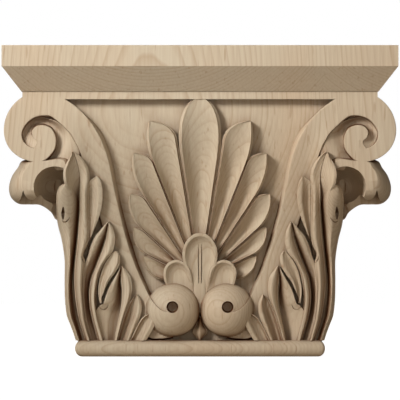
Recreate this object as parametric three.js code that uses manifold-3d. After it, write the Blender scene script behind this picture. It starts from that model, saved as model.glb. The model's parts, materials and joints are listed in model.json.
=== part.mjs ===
// A carved maple pilaster capital: a moulded top over a scallop shell, a scroll and an acanthus leaf
// at each side, and a bead at the foot. One solid, cut flat at the back where it meets the wall.
// Millimetres, +Z up. The front faces -Y. The origin is the middle of the underside's box.

import * as THREE from 'three';
import { mergeVertices } from 'three/addons/utils/BufferGeometryUtils.js';
import { LoftGeometry } from 'three/addons/geometries/LoftGeometry.js';
import Module from 'manifold-3d';

const wasm = await Module();
wasm.setup();

// The block
const WIDTH = 232;
const HEIGHT = 182.6;
const DEPTH = 85;

// The moulded top: an upright fascia over a sloping bevel that leans out past the frieze
const FASCIA_HEIGHT = 12.3;
const BEVEL_HEIGHT = 14.7;
const BEVEL_REACH = 11.4;
const FRIEZE_HEIGHT = 4.5;
const FRIEZE_SET_BACK = 0.6;

// The bell: its face stands NECK_FACE from the wall at the neck and flares to TOP_FACE under the top
const NECK_FACE = 48;
const TOP_FACE = DEPTH - BEVEL_REACH - FRIEZE_SET_BACK;
const FLARE_FROM = 40;
const FLARE_TO = 150;
const GROUND_DEPTH = 6.5;
const BELL_CORNER = 7;
const LEAF_COVER = 3.5;

// The bead at the foot
const BEAD_HEIGHT = 9.6;
const BEAD_HALF_WIDTH = 73.5;
const BEAD_SWELL = 4;

// The scroll: an outer spiral round one centre and a groove round the eye's centre
const SCROLL_CENTRE = [92.3, 133];
const SCROLL_RADIUS = 22.6;
const SCROLL_TIGHTENS = 3.6;
const EYE_CENTRE = [91.5, 128.3];
const EYE_RADIUS = 7.2;
const GROOVE_RADIUS = 13.2;
const GROOVE_TIGHTENS = 6.2;
const BAND_DRAFT = 2.2;

// The snail that each scroll ends in
const SNAIL_CENTRE = [15.8, 27.5];
const SNAIL_RADIUS = 15.8;
const SNAIL_RISE = 12;
const DRILL_CENTRE = [16.2, 29.2];
const DRILL_RADIUS = 3.4;
const DRILL_DEPTH = 9;

// The shell: flutes that fan out from one point
const SHELL_CENTRE_HEIGHT = 44.1;
const SHELL_ROOT = 0.2;
const RIM = 0.86;

const { smoothstep, lerp, degToRad } = THREE.MathUtils;
const point = (x, y) => new THREE.Vector2(x, y);

// How far the carved face stands from the wall, at a distance u from the middle and a height z.
// The corners stay forward lower down, because the scrolls and the leaf tips hang in front there.
function faceAt(u, z) {
  const flare = (height) => lerp(NECK_FACE, TOP_FACE, smoothstep(height, FLARE_FROM, FLARE_TO));
  const corner = smoothstep(Math.abs(u), 62, 82) * smoothstep(z, 70, 108);
  return lerp(flare(z), flare(z + 40), corner);
}

// Half the width over the leaves at a height z: drawn in at the foot, flared towards the scrolls.
function leafEdgeAt(z) {
  const foot = Math.max(0, 34 - z) / 24;
  const flare = Math.min(Math.max(0, z - 59), 26);
  return 79.5 - 6.5 * foot ** 2 + 0.0108 * flare ** 2;
}

// A place on the front: u from the middle, z up, d out from the carved face.
const onFront = (u, z, d) => new THREE.Vector3(u, DEPTH / 2 - faceAt(u, z) - d, z);

// A place on the right-hand side: w out from the wall, z up, d out from the leaf's edge.
const onSide = (w, z, d) => new THREE.Vector3(leafEdgeAt(z) + d, DEPTH / 2 - w, z);

// Turns a closed geometry into a solid that faces outwards, on the right or mirrored to the left.
function solid(geometry, side = 1) {
  const plain = new THREE.BufferGeometry();
  plain.setAttribute('position', geometry.attributes.position.clone());
  plain.setIndex(geometry.index);
  plain.scale(side, 1, 1);
  const merged = mergeVertices(plain, 1e-4);
  const corner = (i) => new THREE.Vector3().fromBufferAttribute(merged.attributes.position, i);
  const index = Array.from(merged.index.array);
  const faces = [];
  let volume = 0;
  for (let i = 0; i < index.length; i += 3) {
    const [a, b, c] = index.slice(i, i + 3);
    if (a === b || b === c || c === a) continue;
    faces.push([a, b, c]);
    volume += corner(a).dot(corner(b).cross(corner(c)));
  }
  if (volume < 0) faces.forEach((face) => face.reverse());
  return new wasm.Manifold(new wasm.Mesh({
    numProp: 3,
    vertProperties: new Float32Array(merged.attributes.position.array),
    triVerts: new Uint32Array(faces.flat()),
  }));
}

const join = (solids) => solids.reduce((whole, next) => whole.add(next));
const bothSides = (make) => join([make(1), make(-1)]);

// A closed loft through rings of points. Each ring has to turn anticlockwise, seen from the last one.
function loft(sections) {
  const ring = sections[Math.floor(sections.length / 2)];
  const normal = new THREE.Vector3();
  ring.forEach((p, i) => normal.add(p.clone().cross(ring[(i + 1) % ring.length])));
  const centreOf = (points) => (
    points.reduce((sum, p) => sum.add(p), new THREE.Vector3()).divideScalar(points.length)
  );
  const onwards = centreOf(sections[sections.length - 1]).sub(centreOf(sections[0]));
  const turned = normal.dot(onwards) < 0 ? sections.map((each) => [...each].reverse()) : sections;
  return new LoftGeometry(turned, { capStart: true, capEnd: true });
}

// A value along a strand, from its value at the root, halfway and at the tip, or from one or two of them.
function along(values, s) {
  if (values.length === 1) return values[0];
  if (values.length === 2) return lerp(values[0], values[1], s);
  const [root, middle, tip] = values;
  return root * (1 - s) * (1 - 2 * s) + middle * 4 * s * (1 - s) + tip * s * (2 * s - 1);
}

// A carved strand between two rails. Its top is shaped across by knots: a place from -1 at the left
// rail to 1 at the right rail, with the height there along the strand. Its walls go down to the floor.
function strand(rails, knots, { steps = 7, place = onFront, floor = -14, draft = () => [0.3, 0.3] } = {}) {
  const sections = [];
  for (let i = 0; i <= steps; i++) {
    const s = i / steps;
    const [left, right] = rails.map((rail) => rail(s));
    const across = right.clone().sub(left).normalize();
    const [leftDraft, rightDraft] = draft(s);
    const top = knots.map(([t, ...heights]) => {
      const spot = left.clone().lerp(right, (t + 1) / 2);
      return place(spot.x, spot.y, along(heights, s));
    });
    const rightFoot = right.clone().addScaledVector(across, rightDraft);
    const leftFoot = left.clone().addScaledVector(across, -leftDraft);
    sections.push([...top, place(rightFoot.x, rightFoot.y, floor), place(leftFoot.x, leftFoot.y, floor)]);
  }
  return loft(sections);
}

// Two smooth rails through ribs of [left u, left z, right u, right z], from the root to the tip.
function railsThrough(ribs) {
  const left = new THREE.SplineCurve(ribs.map((rib) => point(rib[0], rib[1])));
  const right = new THREE.SplineCurve(ribs.map((rib) => point(rib[2], rib[3])));
  return [(s) => left.getPoint(s), (s) => right.getPoint(s)];
}

// A solid through plans of [height, half width, front], flat at the wall, its front corners cut round.
function planLoft(plans, corner) {
  const sections = plans.map(([z, half, front]) => {
    const ring = [point(half, 0)];
    const turns = corner > 0 ? [0, 30, 60, 90] : [0];
    turns.forEach((angle) => {
      const a = degToRad(angle);
      ring.push(point(half - corner * (1 - Math.cos(a)), front - corner * (1 - Math.sin(a))));
    });
    const mirrored = ring.map((p) => point(-p.x, p.y)).reverse();
    return [...ring, ...mirrored].map((p) => new THREE.Vector3(p.x, DEPTH / 2 - p.y, z));
  });
  return loft(sections);
}

// A solid through outlines of [u, z] points that lie at given distances from the wall.
function depthLoft(layers) {
  const sections = layers.map(([w, outline]) => (
    outline.map((p) => new THREE.Vector3(p.x, DEPTH / 2 - w, p.y))
  ));
  return loft(sections);
}

// Bends a geometry made flat, in u, z and d, onto the carved face.
function ontoFace(geometry) {
  const places = geometry.attributes.position;
  for (let i = 0; i < places.count; i++) {
    const world = onFront(places.getX(i), places.getY(i), places.getZ(i));
    places.setXYZ(i, world.x, world.y, world.z);
  }
  return geometry;
}

// The moulded top and the frieze under it
const bevelFoot = HEIGHT - FASCIA_HEIGHT - BEVEL_HEIGHT;
const friezeFoot = bevelFoot - FRIEZE_HEIGHT;
const friezeHalf = WIDTH / 2 - BEVEL_REACH - FRIEZE_SET_BACK;

function mouldedTop() {
  const fascia = [WIDTH / 2, DEPTH];
  return solid(planLoft([
    [bevelFoot, WIDTH / 2 - BEVEL_REACH, DEPTH - BEVEL_REACH],
    [HEIGHT - FASCIA_HEIGHT, ...fascia],
    [HEIGHT, ...fascia],
  ], 0));
}

function frieze() {
  return solid(planLoft([[friezeFoot, friezeHalf, TOP_FACE], [bevelFoot + 1, friezeHalf, TOP_FACE]], 0));
}

// The bell behind the carving, whose front is the sunk ground of the panel
function bell() {
  const plans = [0, 10, 18, 26, 34, 48, 60, 70, 80, 90, 100, 110, 112, 117, 125, 135, 145, bevelFoot];
  return solid(planLoft(plans.map((z) => {
    const half = z > 115 ? SCROLL_CENTRE[0] : Math.min(leafEdgeAt(z) - LEAF_COVER, 79);
    return [z, half, faceAt(0, z) - GROUND_DEPTH];
  }), BELL_CORNER));
}

// The bead: a half-round that returns round the sides
function bead() {
  const plans = [];
  for (let angle = -90; angle <= 90; angle += 22.5) {
    const swell = BEAD_SWELL * (Math.cos(degToRad(angle)) - 1);
    const z = (BEAD_HEIGHT / 2) * (1 + Math.sin(degToRad(angle)));
    plans.push([z, BEAD_HALF_WIDTH + swell, NECK_FACE + BEAD_SWELL + swell]);
  }
  return solid(planLoft(plans, 2));
}

// One flute of the shell, between the angles of its inner and outer edges, closing to its tip
const flutes = [
  { length: 108.1, tip: 0, inner: -9, outer: 9, innerShoulder: 0.68, outerShoulder: 0.68, scoop: 4.2 },
  { length: 98.7, tip: 17.4, inner: 9, outer: 22, innerShoulder: 0.86, outerShoulder: 0.74, scoop: 3 },
  { length: 84.7, tip: 27.3, inner: 21, outer: 33.5, innerShoulder: 0.88, outerShoulder: 0.7, scoop: 2.8 },
  { length: 65.7, tip: 38.5, inner: 33, outer: 48.5, innerShoulder: 0.86, outerShoulder: 0.68, scoop: 2.6 },
  { length: 50.3, tip: 50.5, inner: 47.5, outer: 64, innerShoulder: 0.84, outerShoulder: 0.68, scoop: 2.2 },
  { length: 36.4, tip: 65.5, inner: 63, outer: 88, innerShoulder: 0.84, outerShoulder: 0.55, scoop: 1.8 },
];

function flute({ length, tip, inner, outer, innerShoulder, outerShoulder, scoop }) {
  const edge = (angle, shoulder, roundness) => (s) => {
    const reach = lerp(SHELL_ROOT, 1, s);
    const past = Math.max(0, reach - shoulder) / (1 - shoulder);
    const share = Math.max(0.02, (1 - past ** 2) ** roundness);
    const a = degToRad(lerp(tip, angle, share));
    return point(length * reach * Math.sin(a), SHELL_CENTRE_HEIGHT + length * reach * Math.cos(a));
  };
  const blunt = tip === 0 ? 0.5 : 0.8;
  const rails = [edge(outer, outerShoulder, blunt), edge(inner, innerShoulder, blunt)];
  return strand(rails, [
    [-1, -3, -2, -1.6],
    [-RIM, -2, -0.4, -0.2],
    [-0.5, -2.6, -0.4 - 0.75 * scoop, -0.5],
    [0, -3, -0.4 - scoop, -0.6],
    [0.5, -2.6, -0.4 - 0.75 * scoop, -0.5],
    [RIM, -2, -0.4, -0.2],
    [1, -3, -2, -1.6],
  ], { steps: 7 });
}

function shell() {
  return bothSides((side) => join(flutes.map((each) => solid(flute(each), side))));
}

// The small three-lobed leaf over the fan's centre, and the tongue between the snails
function smallLeaf() {
  const middle = railsThrough([
    [4.2, 28, -4.2, 28],
    [7.2, 48, -7.2, 48],
    [10.2, 59, -10.2, 59],
    [8.6, 68, -8.6, 68],
    [1, 72.5, -1, 72.5],
  ]);
  const across = [[-1, 0, 2.5, 3], [-0.75, 0.6, 3.4, 4], [-0.35, -0.8, 0.6, 2.5], [0, 1, 2.4, 3]];
  const mirrored = across.slice(0, 3).reverse().map(([t, ...heights]) => [-t, ...heights]);
  const lobe = railsThrough([
    [17, 34, 3, 32],
    [20.4, 46, 6, 45.5],
    [20, 51.5, 8, 51.5],
    [14.4, 55.9, 12.4, 55.9],
  ]);
  const cupped = [[-1, 1, 2, 2.4], [-0.72, 1.2, 2.4, 3], [0, -1, -0.6, 2], [0.72, 1.2, 2.4, 3], [1, 1, 2, 2.4]];
  const lobes = bothSides((side) => solid(strand(lobe, cupped, { steps: 5 }), side));
  return lobes.add(solid(strand(middle, [...across, ...mirrored])));
}

function tongue() {
  const rails = railsThrough([
    [0.5, 9.4, -0.5, 9.4],
    [4.4, 14.3, -4.4, 14.3],
    [2.6, 18.5, -2.6, 18.5],
    [1, 23, -1, 23],
  ]);
  return solid(strand(rails, [[-1, -2], [0, 2], [1, -2]], { steps: 5 }));
}

// The scroll's band, from under the snail, up the edge of the panel and round to the eye
const stemRibs = [
  [15.8, 11.6, 17.6, 26],
  [23, 10.5, 22.4, 27.3],
  [31, 12, 27.6, 32],
  [38, 24, 32.4, 40.9],
  [46, 45, 38.4, 54.6],
  [54.5, 68, 43.1, 68.7],
  [60.5, 88, 46.8, 83.3],
  [65.5, 105, 50.6, 100.2],
  [70.4, 120.3, 54.3, 117.8],
  [73.6, 127.1, 60.5, 132.4],
  [77.1, 132.4, 69.9, 144.3],
];

const spiralPoint = ([u, z], radius, angle) => (
  [u + radius * Math.sin(degToRad(angle)), z + radius * Math.cos(degToRad(angle))]
);
const scrollEdge = (angle) => (
  spiralPoint(SCROLL_CENTRE, SCROLL_RADIUS - SCROLL_TIGHTENS * smoothstep(angle, 100, 180), angle)
);
const grooveEdge = (angle) => (
  spiralPoint(EYE_CENTRE, GROOVE_RADIUS - GROOVE_TIGHTENS * smoothstep(angle, 75, 165), angle)
);

function band() {
  const ribs = [...stemRibs];
  for (let angle = -25; angle <= 180; angle += 20.5) {
    ribs.push([...grooveEdge(Math.min(angle, 150)), ...scrollEdge(angle)]);
  }
  const stemShare = (stemRibs.length - 1) / (ribs.length - 1);
  return strand(railsThrough(ribs), [[-1, 0], [1, 0]], {
    steps: 34,
    floor: -8,
    draft: (s) => [1.2, BAND_DRAFT * (1 - smoothstep(s, stemShare - 0.06, stemShare))],
  });
}

function eye() {
  const disc = new THREE.CylinderGeometry(EYE_RADIUS, EYE_RADIUS + 0.8, 8, 20);
  disc.rotateX(Math.PI / 2).translate(...EYE_CENTRE, -4);
  return ontoFace(disc);
}

// The bolster behind the scroll's face, running back to the wall
function bolster() {
  const outline = [];
  for (let angle = 0; angle < 360; angle += 15) {
    const [u, z] = angle <= 180 ? scrollEdge(angle) : spiralPoint(SCROLL_CENTRE, SCROLL_RADIUS - 4, angle);
    const middle = point(...SCROLL_CENTRE);
    outline.push(point(u, z).sub(middle).multiplyScalar(0.98).add(middle));
  }
  return depthLoft([[0, outline], [TOP_FACE - GROUND_DEPTH, outline]]);
}

// The snail: a ball with a drilled centre
function snail(side) {
  const ball = new THREE.SphereGeometry(1, 16, 10);
  ball.scale(SNAIL_RADIUS, SNAIL_RADIUS, SNAIL_RISE).translate(...SNAIL_CENTRE, -2);
  return solid(ontoFace(ball), side);
}

function drill(side) {
  const hole = new THREE.CylinderGeometry(DRILL_RADIUS, DRILL_RADIUS * 0.7, DRILL_DEPTH * 2, 10);
  hole.rotateX(Math.PI / 2).translate(...DRILL_CENTRE, SNAIL_RISE);
  return solid(ontoFace(hole), side);
}

// The overturned tip of the leaf under the scroll: a dome, hollowed at the front, its end cut to lobes
const HOLLOW_CENTRE = [85.3, 99.6];
const HOLLOW_RADIUS = 12.2;
const tipOutline = [
  [78, 76], [84.4, 80.4], [87.8, 85], [93.9, 89], [100, 89.4], [106.7, 89.8], [111.2, 93.6], [112.4, 99.5],
  [110.6, 106], [107.2, 111], [103.8, 114.4], [92, 115.5], [78, 115],
];
const tipLayers = [[6, 0.92], [22, 0.98], [38, 1], [50, 0.95], [58, 0.85], [63, 0.73], [66, 0.6]];

function leafTip(side) {
  const middle = point(...HOLLOW_CENTRE);
  const dome = depthLoft(tipLayers.map(([w, scale]) => (
    [w, tipOutline.map((p) => point(...p).sub(middle).multiplyScalar(scale).add(middle))]
  )));
  const hollow = new THREE.SphereGeometry(1, 16, 10);
  hollow.scale(HOLLOW_RADIUS, 22, HOLLOW_RADIUS);
  hollow.translate(HOLLOW_CENTRE[0], DEPTH / 2 - 66, HOLLOW_CENTRE[1]);
  const notch = [[107.5, 86], [103.6, 97.7], [98.4, 92.2], [97, 86]].map((p) => point(...p));
  const cut = depthLoft([[48, notch], [80, notch]]);
  return solid(dome, side).subtract(solid(hollow, side)).subtract(solid(cut, side));
}

// The acanthus leaf: strands that fan out from the bead, each overlapping the one before
const leafStrands = {
  outerRib: {
    ribs: [
      [73, 9.4, 66, 9.4],
      [77.7, 21.9, 70, 21.9],
      [79.4, 36, 72.3, 38],
      [79.5, 54, 72, 54],
      [81.2, 68.7, 70.5, 68.7],
      [84.4, 80.4, 69.3, 84],
      [86, 92, 69.4, 100],
    ],
    knots: [[-1, -6], [-0.7, -0.8], [-0.3, 2], [0.3, 0.5], [1, -3.5]],
  },
  earLobe: {
    ribs: [[81.5, 82, 79.3, 82], [84, 90, 79.4, 90], [85, 96, 80, 96], [83.8, 100.8, 83, 100.8]],
    knots: [[-1, 0], [0, -2.5], [1, 0.5]],
    steps: 5,
  },
  tallRib: {
    ribs: [
      [67.6, 9.4, 58.5, 9.4],
      [71.6, 21.9, 62, 22],
      [73.8, 37, 63.8, 36],
      [73.6, 54.1, 65.2, 50],
      [72, 68.7, 66, 65],
      [70.8, 84, 60.4, 82],
      [70.4, 96, 58.1, 95],
      [65.2, 102.6, 58.9, 103],
      [61, 106, 60.6, 106],
    ],
    knots: [
      [-1, 0.8, 2, 3],
      [-0.72, 2.4, 3.4, 4],
      [0.1, 0.2, 1.2, 1.2],
      [0.8, -3, -1.2, 3.8],
      [1, -3.5, -1.6, 3.4],
    ],
    steps: 10,
  },
  topLobe: {
    ribs: [
      [76.5, 94, 70, 95],
      [79, 100.2, 66, 100.5],
      [80.1, 106.5, 64.9, 105.5],
      [79.2, 111.5, 66.3, 112],
      [76.8, 116.5, 69.8, 117.4],
      [75.4, 120.1, 75, 120.1],
    ],
    knots: [
      [-1, 1, 3.4, 4],
      [-0.82, 1.4, 3.8, 4.2],
      [-0.2, -1, 0.2, 2.6],
      [0.4, 0, 0.6, 2.8],
      [0.86, 1.8, 3.8, 4.2],
      [1, 1, 3.2, 3.8],
    ],
  },
  secondFlute: {
    ribs: [
      [70, 38, 62, 38],
      [68.2, 50, 59.5, 50],
      [65.6, 61, 57, 62],
      [62.8, 71, 54.5, 70],
      [57.4, 74.6, 52.5, 76],
      [54.2, 79.2, 53.4, 79.2],
    ],
    knots: [[-1, -1, 2.6, 4], [-0.8, -1, 2.8, 3.8], [0.1, -3, -0.8, 2], [1, -3.5, -1.6, 2]],
    steps: 7,
  },
  secondRib: {
    ribs: [
      [60.2, 9.4, 56.5, 9.4],
      [63.8, 23.7, 58, 24],
      [65.2, 38, 59.6, 36],
      [62.8, 49, 57.5, 47.5],
      [59, 59, 51.2, 59],
      [55.7, 70, 50.2, 68.5],
      [53.9, 79, 53.3, 79],
    ],
    knots: [[-1, 0.5, 1.6, 3.6], [-0.5, 2, 3.6, 4.4], [0.4, 1, 2.8, 4.2], [1, 0, 1.8, 3.6]],
  },
  thirdLobe: {
    ribs: [
      [59, 28, 55.4, 29],
      [59.6, 36, 56.2, 36],
      [58.4, 45, 54, 44.8],
      [55.6, 53, 49.4, 51.8],
      [52.4, 59.4, 47.6, 57.4],
      [48.9, 61.8, 48.3, 61.6],
    ],
    knots: [[-1, 1, 3.6, 4.4], [-0.75, 1, 3.8, 4.6], [0, -1.6, 0.8, 3], [0.75, 1, 3.8, 4.6], [1, 1, 3.2, 4]],
  },
  thirdRib: {
    ribs: [
      [60, 9.4, 47.3, 9.4],
      [61.2, 20, 44, 21],
      [58, 28, 41.4, 31],
      [55.4, 36, 40.1, 39.4],
      [52, 43.6, 40.7, 45.6],
      [48.6, 49.4, 43.4, 50.3],
      [46.7, 53, 46.1, 53],
    ],
    knots: [
      [-1, 1, 1.6, 4],
      [-0.85, 0.4, 1.4, 3.8],
      [-0.3, -1.4, -0.4, 2.6],
      [0.3, -2.8, -1.8, 1.6],
      [0.42, 0.8, 2, 3.4],
      [0.7, 2.2, 3.4, 4.2],
      [1, 0, 2, 3.6],
    ],
  },
  fourthRib: {
    ribs: [
      [48, 9.4, 39.4, 9.4],
      [46.2, 16, 36.9, 17],
      [43.5, 24, 34.9, 24],
      [41.6, 30, 34.4, 29.4],
      [37.4, 36.6, 36.8, 36.6],
    ],
    knots: [[-1, -0.5, 0.4, 3], [-0.7, -2.4, -1.2, 2], [0.25, 1.6, 2.6, 3.2], [1, 0, 1.8, 3]],
    steps: 6,
  },
  fifthRib: {
    ribs: [
      [40.4, 9.4, 32.2, 9.4],
      [37.8, 15, 30, 14.5],
      [34.6, 22.4, 28, 20.6],
      [28.4, 25.3, 27.7, 24.8],
    ],
    knots: [[-1, -0.5, 0.4, 2.6], [-0.4, -2.2, -1.2, 1.6], [0.4, 1, 1.8, 2.6], [1, 0, 1.4, 2.4]],
    steps: 6,
  },
};

// Small teardrop eyes where two lobes of the leaf part: [u, z, lean]
const leafEyes = [[80.3, 84.5, 8], [67, 60, 12], [57, 33.5, -6]];

function leafEye([u, z, lean], side) {
  const eyeCut = new THREE.SphereGeometry(1, 8, 6);
  eyeCut.scale(1.2, 3.6, 5).rotateZ(degToRad(lean)).translate(u, z, 3);
  return solid(ontoFace(eyeCut), side);
}

function acanthus(side) {
  const strands = Object.values(leafStrands).map(({ ribs, knots, steps }) => (
    solid(strand(railsThrough(ribs), knots, { steps }), side)
  ));
  return leafEyes.reduce((leaf, each) => leaf.subtract(leafEye(each, side)), join(strands));
}

// The plainer half of the leaf on the side: a midrib and two flutes up to the overturned tip
function sideLeaf(side) {
  const ribsAcross = [[2, 12], [11, 22], [20, 31], [29.5, 44]];
  return join(ribsAcross.map(([back, front]) => {
    const rails = [(s) => point(back, lerp(9.4, 112, s)), (s) => point(front, lerp(9.4, 112, s))];
    const knots = [[-1, -2.4], [-0.4, -0.2], [0.4, -0.2], [1, -2.4]];
    return solid(strand(rails, knots, { steps: 9, place: onSide, floor: -8 }), side);
  }));
}

function capital() {
  const mouldings = join([bell(), mouldedTop(), frieze(), bead(), shell(), smallLeaf(), tongue()]);
  const sides = bothSides((side) => join([
    solid(bolster(), side),
    solid(eye(), side),
    leafTip(side),
    sideLeaf(side),
    snail(side),
    solid(band(), side),
    acanthus(side),
  ]));
  return mouldings.add(sides).subtract(bothSides(drill));
}

// The carved solid as a three.js geometry
function geometryOf(manifold) {
  const { vertProperties, triVerts } = manifold.getMesh();
  const geometry = new THREE.BufferGeometry();
  geometry.setAttribute('position', new THREE.BufferAttribute(vertProperties, 3));
  geometry.setIndex(new THREE.BufferAttribute(triVerts, 1));
  geometry.computeVertexNormals();
  return geometry;
}

const maple = new THREE.MeshStandardMaterial({ color: 0xcdb698, roughness: 0.62, metalness: 0 });

const piece = new THREE.Mesh(geometryOf(capital()), maple);
piece.name = 'capital';

const group = new THREE.Group();
group.add(piece);

export default group;
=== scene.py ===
import json
import math

import bmesh
import bpy
import numpy as np
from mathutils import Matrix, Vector

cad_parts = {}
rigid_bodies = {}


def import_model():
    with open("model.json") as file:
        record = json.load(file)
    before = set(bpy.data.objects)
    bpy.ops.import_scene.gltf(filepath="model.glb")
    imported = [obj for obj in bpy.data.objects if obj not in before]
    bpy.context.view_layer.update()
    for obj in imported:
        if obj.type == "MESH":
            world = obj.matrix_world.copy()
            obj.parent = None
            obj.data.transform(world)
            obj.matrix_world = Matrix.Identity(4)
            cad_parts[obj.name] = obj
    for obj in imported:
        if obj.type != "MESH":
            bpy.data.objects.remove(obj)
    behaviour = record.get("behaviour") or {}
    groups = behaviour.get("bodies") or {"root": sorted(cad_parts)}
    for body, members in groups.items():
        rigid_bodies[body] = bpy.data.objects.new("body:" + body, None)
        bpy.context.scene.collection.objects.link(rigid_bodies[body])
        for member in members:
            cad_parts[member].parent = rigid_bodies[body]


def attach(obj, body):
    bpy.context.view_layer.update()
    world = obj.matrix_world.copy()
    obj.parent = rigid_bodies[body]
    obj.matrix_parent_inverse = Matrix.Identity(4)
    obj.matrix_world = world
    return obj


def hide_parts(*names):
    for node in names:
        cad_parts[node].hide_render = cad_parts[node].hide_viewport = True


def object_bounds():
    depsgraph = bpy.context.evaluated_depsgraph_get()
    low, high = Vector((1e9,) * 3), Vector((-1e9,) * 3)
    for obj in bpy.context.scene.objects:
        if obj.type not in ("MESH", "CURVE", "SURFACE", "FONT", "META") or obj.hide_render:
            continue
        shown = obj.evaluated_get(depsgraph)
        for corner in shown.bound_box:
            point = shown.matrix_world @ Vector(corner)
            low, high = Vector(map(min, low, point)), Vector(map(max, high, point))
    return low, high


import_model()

bl_info = {
    "name": "Carved Pilaster Capital",
    "version": (1, 0, 0),
    "blender": (4, 5, 0),
    "location": "3D View > Sidebar > Capital",
    "description": "Carves a maple pilaster capital with a shell, scrolls and acanthus leaves",
    "category": "Add Mesh",
}

MM = 0.001
CAD_LOW, CAD_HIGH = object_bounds()
BLOCKS = "carving blocks"
CUTS = "carving cuts"
PIECE = "carved_capital"
MAPLE = "hard_maple_carved_and_sanded"

# The image's width, the width of the piece in it, and the row that its foot stands on, in pixels
IMAGE_PIXELS = 400
PIECE_PIXELS = 397
FOOT_ROW = 357.5
# The width of the camera's sensor, in millimetres
SENSOR_WIDTH = 36

# Where two boards are glued, and how far and how askew each one's pith lies, in metres and radians
GLUE_LINE = 72.2 * MM
BOARDS = [((0.031, 0.15, 0), (-0.06, -0.01, 0)), ((-0.135, 0.115, 0), (0.02, 0.05, 0))]

# The soft boxes: where each stands and what it is aimed at, in metres, its size, and how widely it
# spreads, in degrees. They are aimed high, so the foot is a little darker than the top.
KEY_LIGHT = ((-0.6, -0.68, 0.56), (-0.03, -0.04, 0.27), 0.3, 58)
FILL_LIGHT = ((0.05, -1.0, 0.02), (0, -0.04, 0.2), 0.8, 66)
# The lights' colours, as strengths of red, green and blue
KEY_TINT = (1, 0.99, 0.97)
FILL_TINT = (1, 0.95, 0.87)
AMBIENT_TINT = (1, 0.9, 0.77, 1)
# How high a way points, and the share of the ambient light that comes from there
LOW_SKY = (-0.2, 0.25)
HIGH_SKY = (0.9, 1.6)
# The floor as the carving sees it, sRGB hex, how brightly the camera sees it glow, and its half width
# and gap below the foot, in metres
FLOOR_IN_SHADE = "cec5b6"
PAPER_GLOW = 0.93
FLOOR_REACH = 3.0
FLOOR_GAP = 0.2 * MM

# From here on, places and sizes are in millimetres. The carved face flares forward between two
# heights, and sooner towards its corners.
FLARE_HEIGHTS = (40, 150)
CORNER_ACROSS = (62, 82)
CORNER_HEIGHTS = (70, 108)
CORNER_LEAD = 40

# The leaf's edge: half the width over it, how it is drawn in at the foot, and how it flares higher up
LEAF_HALF = 79.5
FOOT_TOP, FOOT_SPAN, FOOT_DRAW = 34, 24, 6.5
EDGE_FLARE_FROM, EDGE_FLARE_SPAN, EDGE_FLARE_RATE = 59, 26, 0.0108

# The bell: its rounded corner, its widest half, how much of it the leaf covers, and the height above
# which it reaches the middle of the scrolls
BELL_CORNER = 7
BELL_HALF = 79
LEAF_COVER = 3.5
BOLSTER_FOOT = 115

# Where each block ends inside the bell and each cut ends in the open, out from the carved face
FLOOR = -14
CUT_TOP = 14

# The eased edge of a strand is this wide, or this share of half the strand where that is less
EDGE_WIDTH = 0.6
EDGE_SHARE = 0.2

# Edges that meet at more than this angle stay crisp, in degrees
CRISP_ANGLE = 32


class CapitalSizes(bpy.types.PropertyGroup):
    """Sizes of the block and of its main forms, in millimetres"""

    width: bpy.props.FloatProperty(
        name="Width", description="Width over the moulded top, mm", min=50,
        default=round((CAD_HIGH.x - CAD_LOW.x) / MM, 3))
    depth: bpy.props.FloatProperty(
        name="Depth", description="Depth of the moulded top from the wall, mm", min=20,
        default=round((CAD_HIGH.y - CAD_LOW.y) / MM, 3))
    height: bpy.props.FloatProperty(
        name="Height", description="Height from the foot to the top, mm", min=50,
        default=round((CAD_HIGH.z - CAD_LOW.z) / MM, 3))
    fascia: bpy.props.FloatProperty(
        name="Fascia", description="Height of the upright fascia, mm", default=12.3)
    bevel: bpy.props.FloatProperty(
        name="Bevel", description="Height of the sloping bevel, mm", default=14.7)
    reach: bpy.props.FloatProperty(
        name="Reach", description="How far the bevel leans out, mm", default=11.4)
    frieze: bpy.props.FloatProperty(
        name="Frieze", description="Height of the plain frieze, mm", default=4.5)
    set_back: bpy.props.FloatProperty(
        name="Set back", description="Step from the bevel back to the frieze, mm", default=0.6)
    neck: bpy.props.FloatProperty(
        name="Neck", description="How far the carved face stands from the wall at the neck, mm", default=48)
    ground: bpy.props.FloatProperty(
        name="Ground", description="How far the panel's ground is sunk, mm", default=6.5)
    bead: bpy.props.FloatProperty(
        name="Bead", description="Height of the bead at the foot, mm", default=9.6)
    bead_half: bpy.props.FloatProperty(
        name="Bead half width", description="Half the width over the bead, mm", default=73.5)
    bead_swell: bpy.props.FloatProperty(
        name="Bead swell", description="How far the bead stands out, mm", default=4)


class CarvingDetail(bpy.types.PropertyGroup):
    """How finely the carving is cut"""

    steps: bpy.props.IntProperty(
        name="Steps", description="Cuts along each strand", default=44, min=6)
    across: bpy.props.IntProperty(
        name="Across", description="Cuts across each strand", default=18, min=4)
    ease: bpy.props.FloatProperty(
        name="Eased edge", description="How far sanding has rounded each edge, mm", default=0.35)


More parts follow.
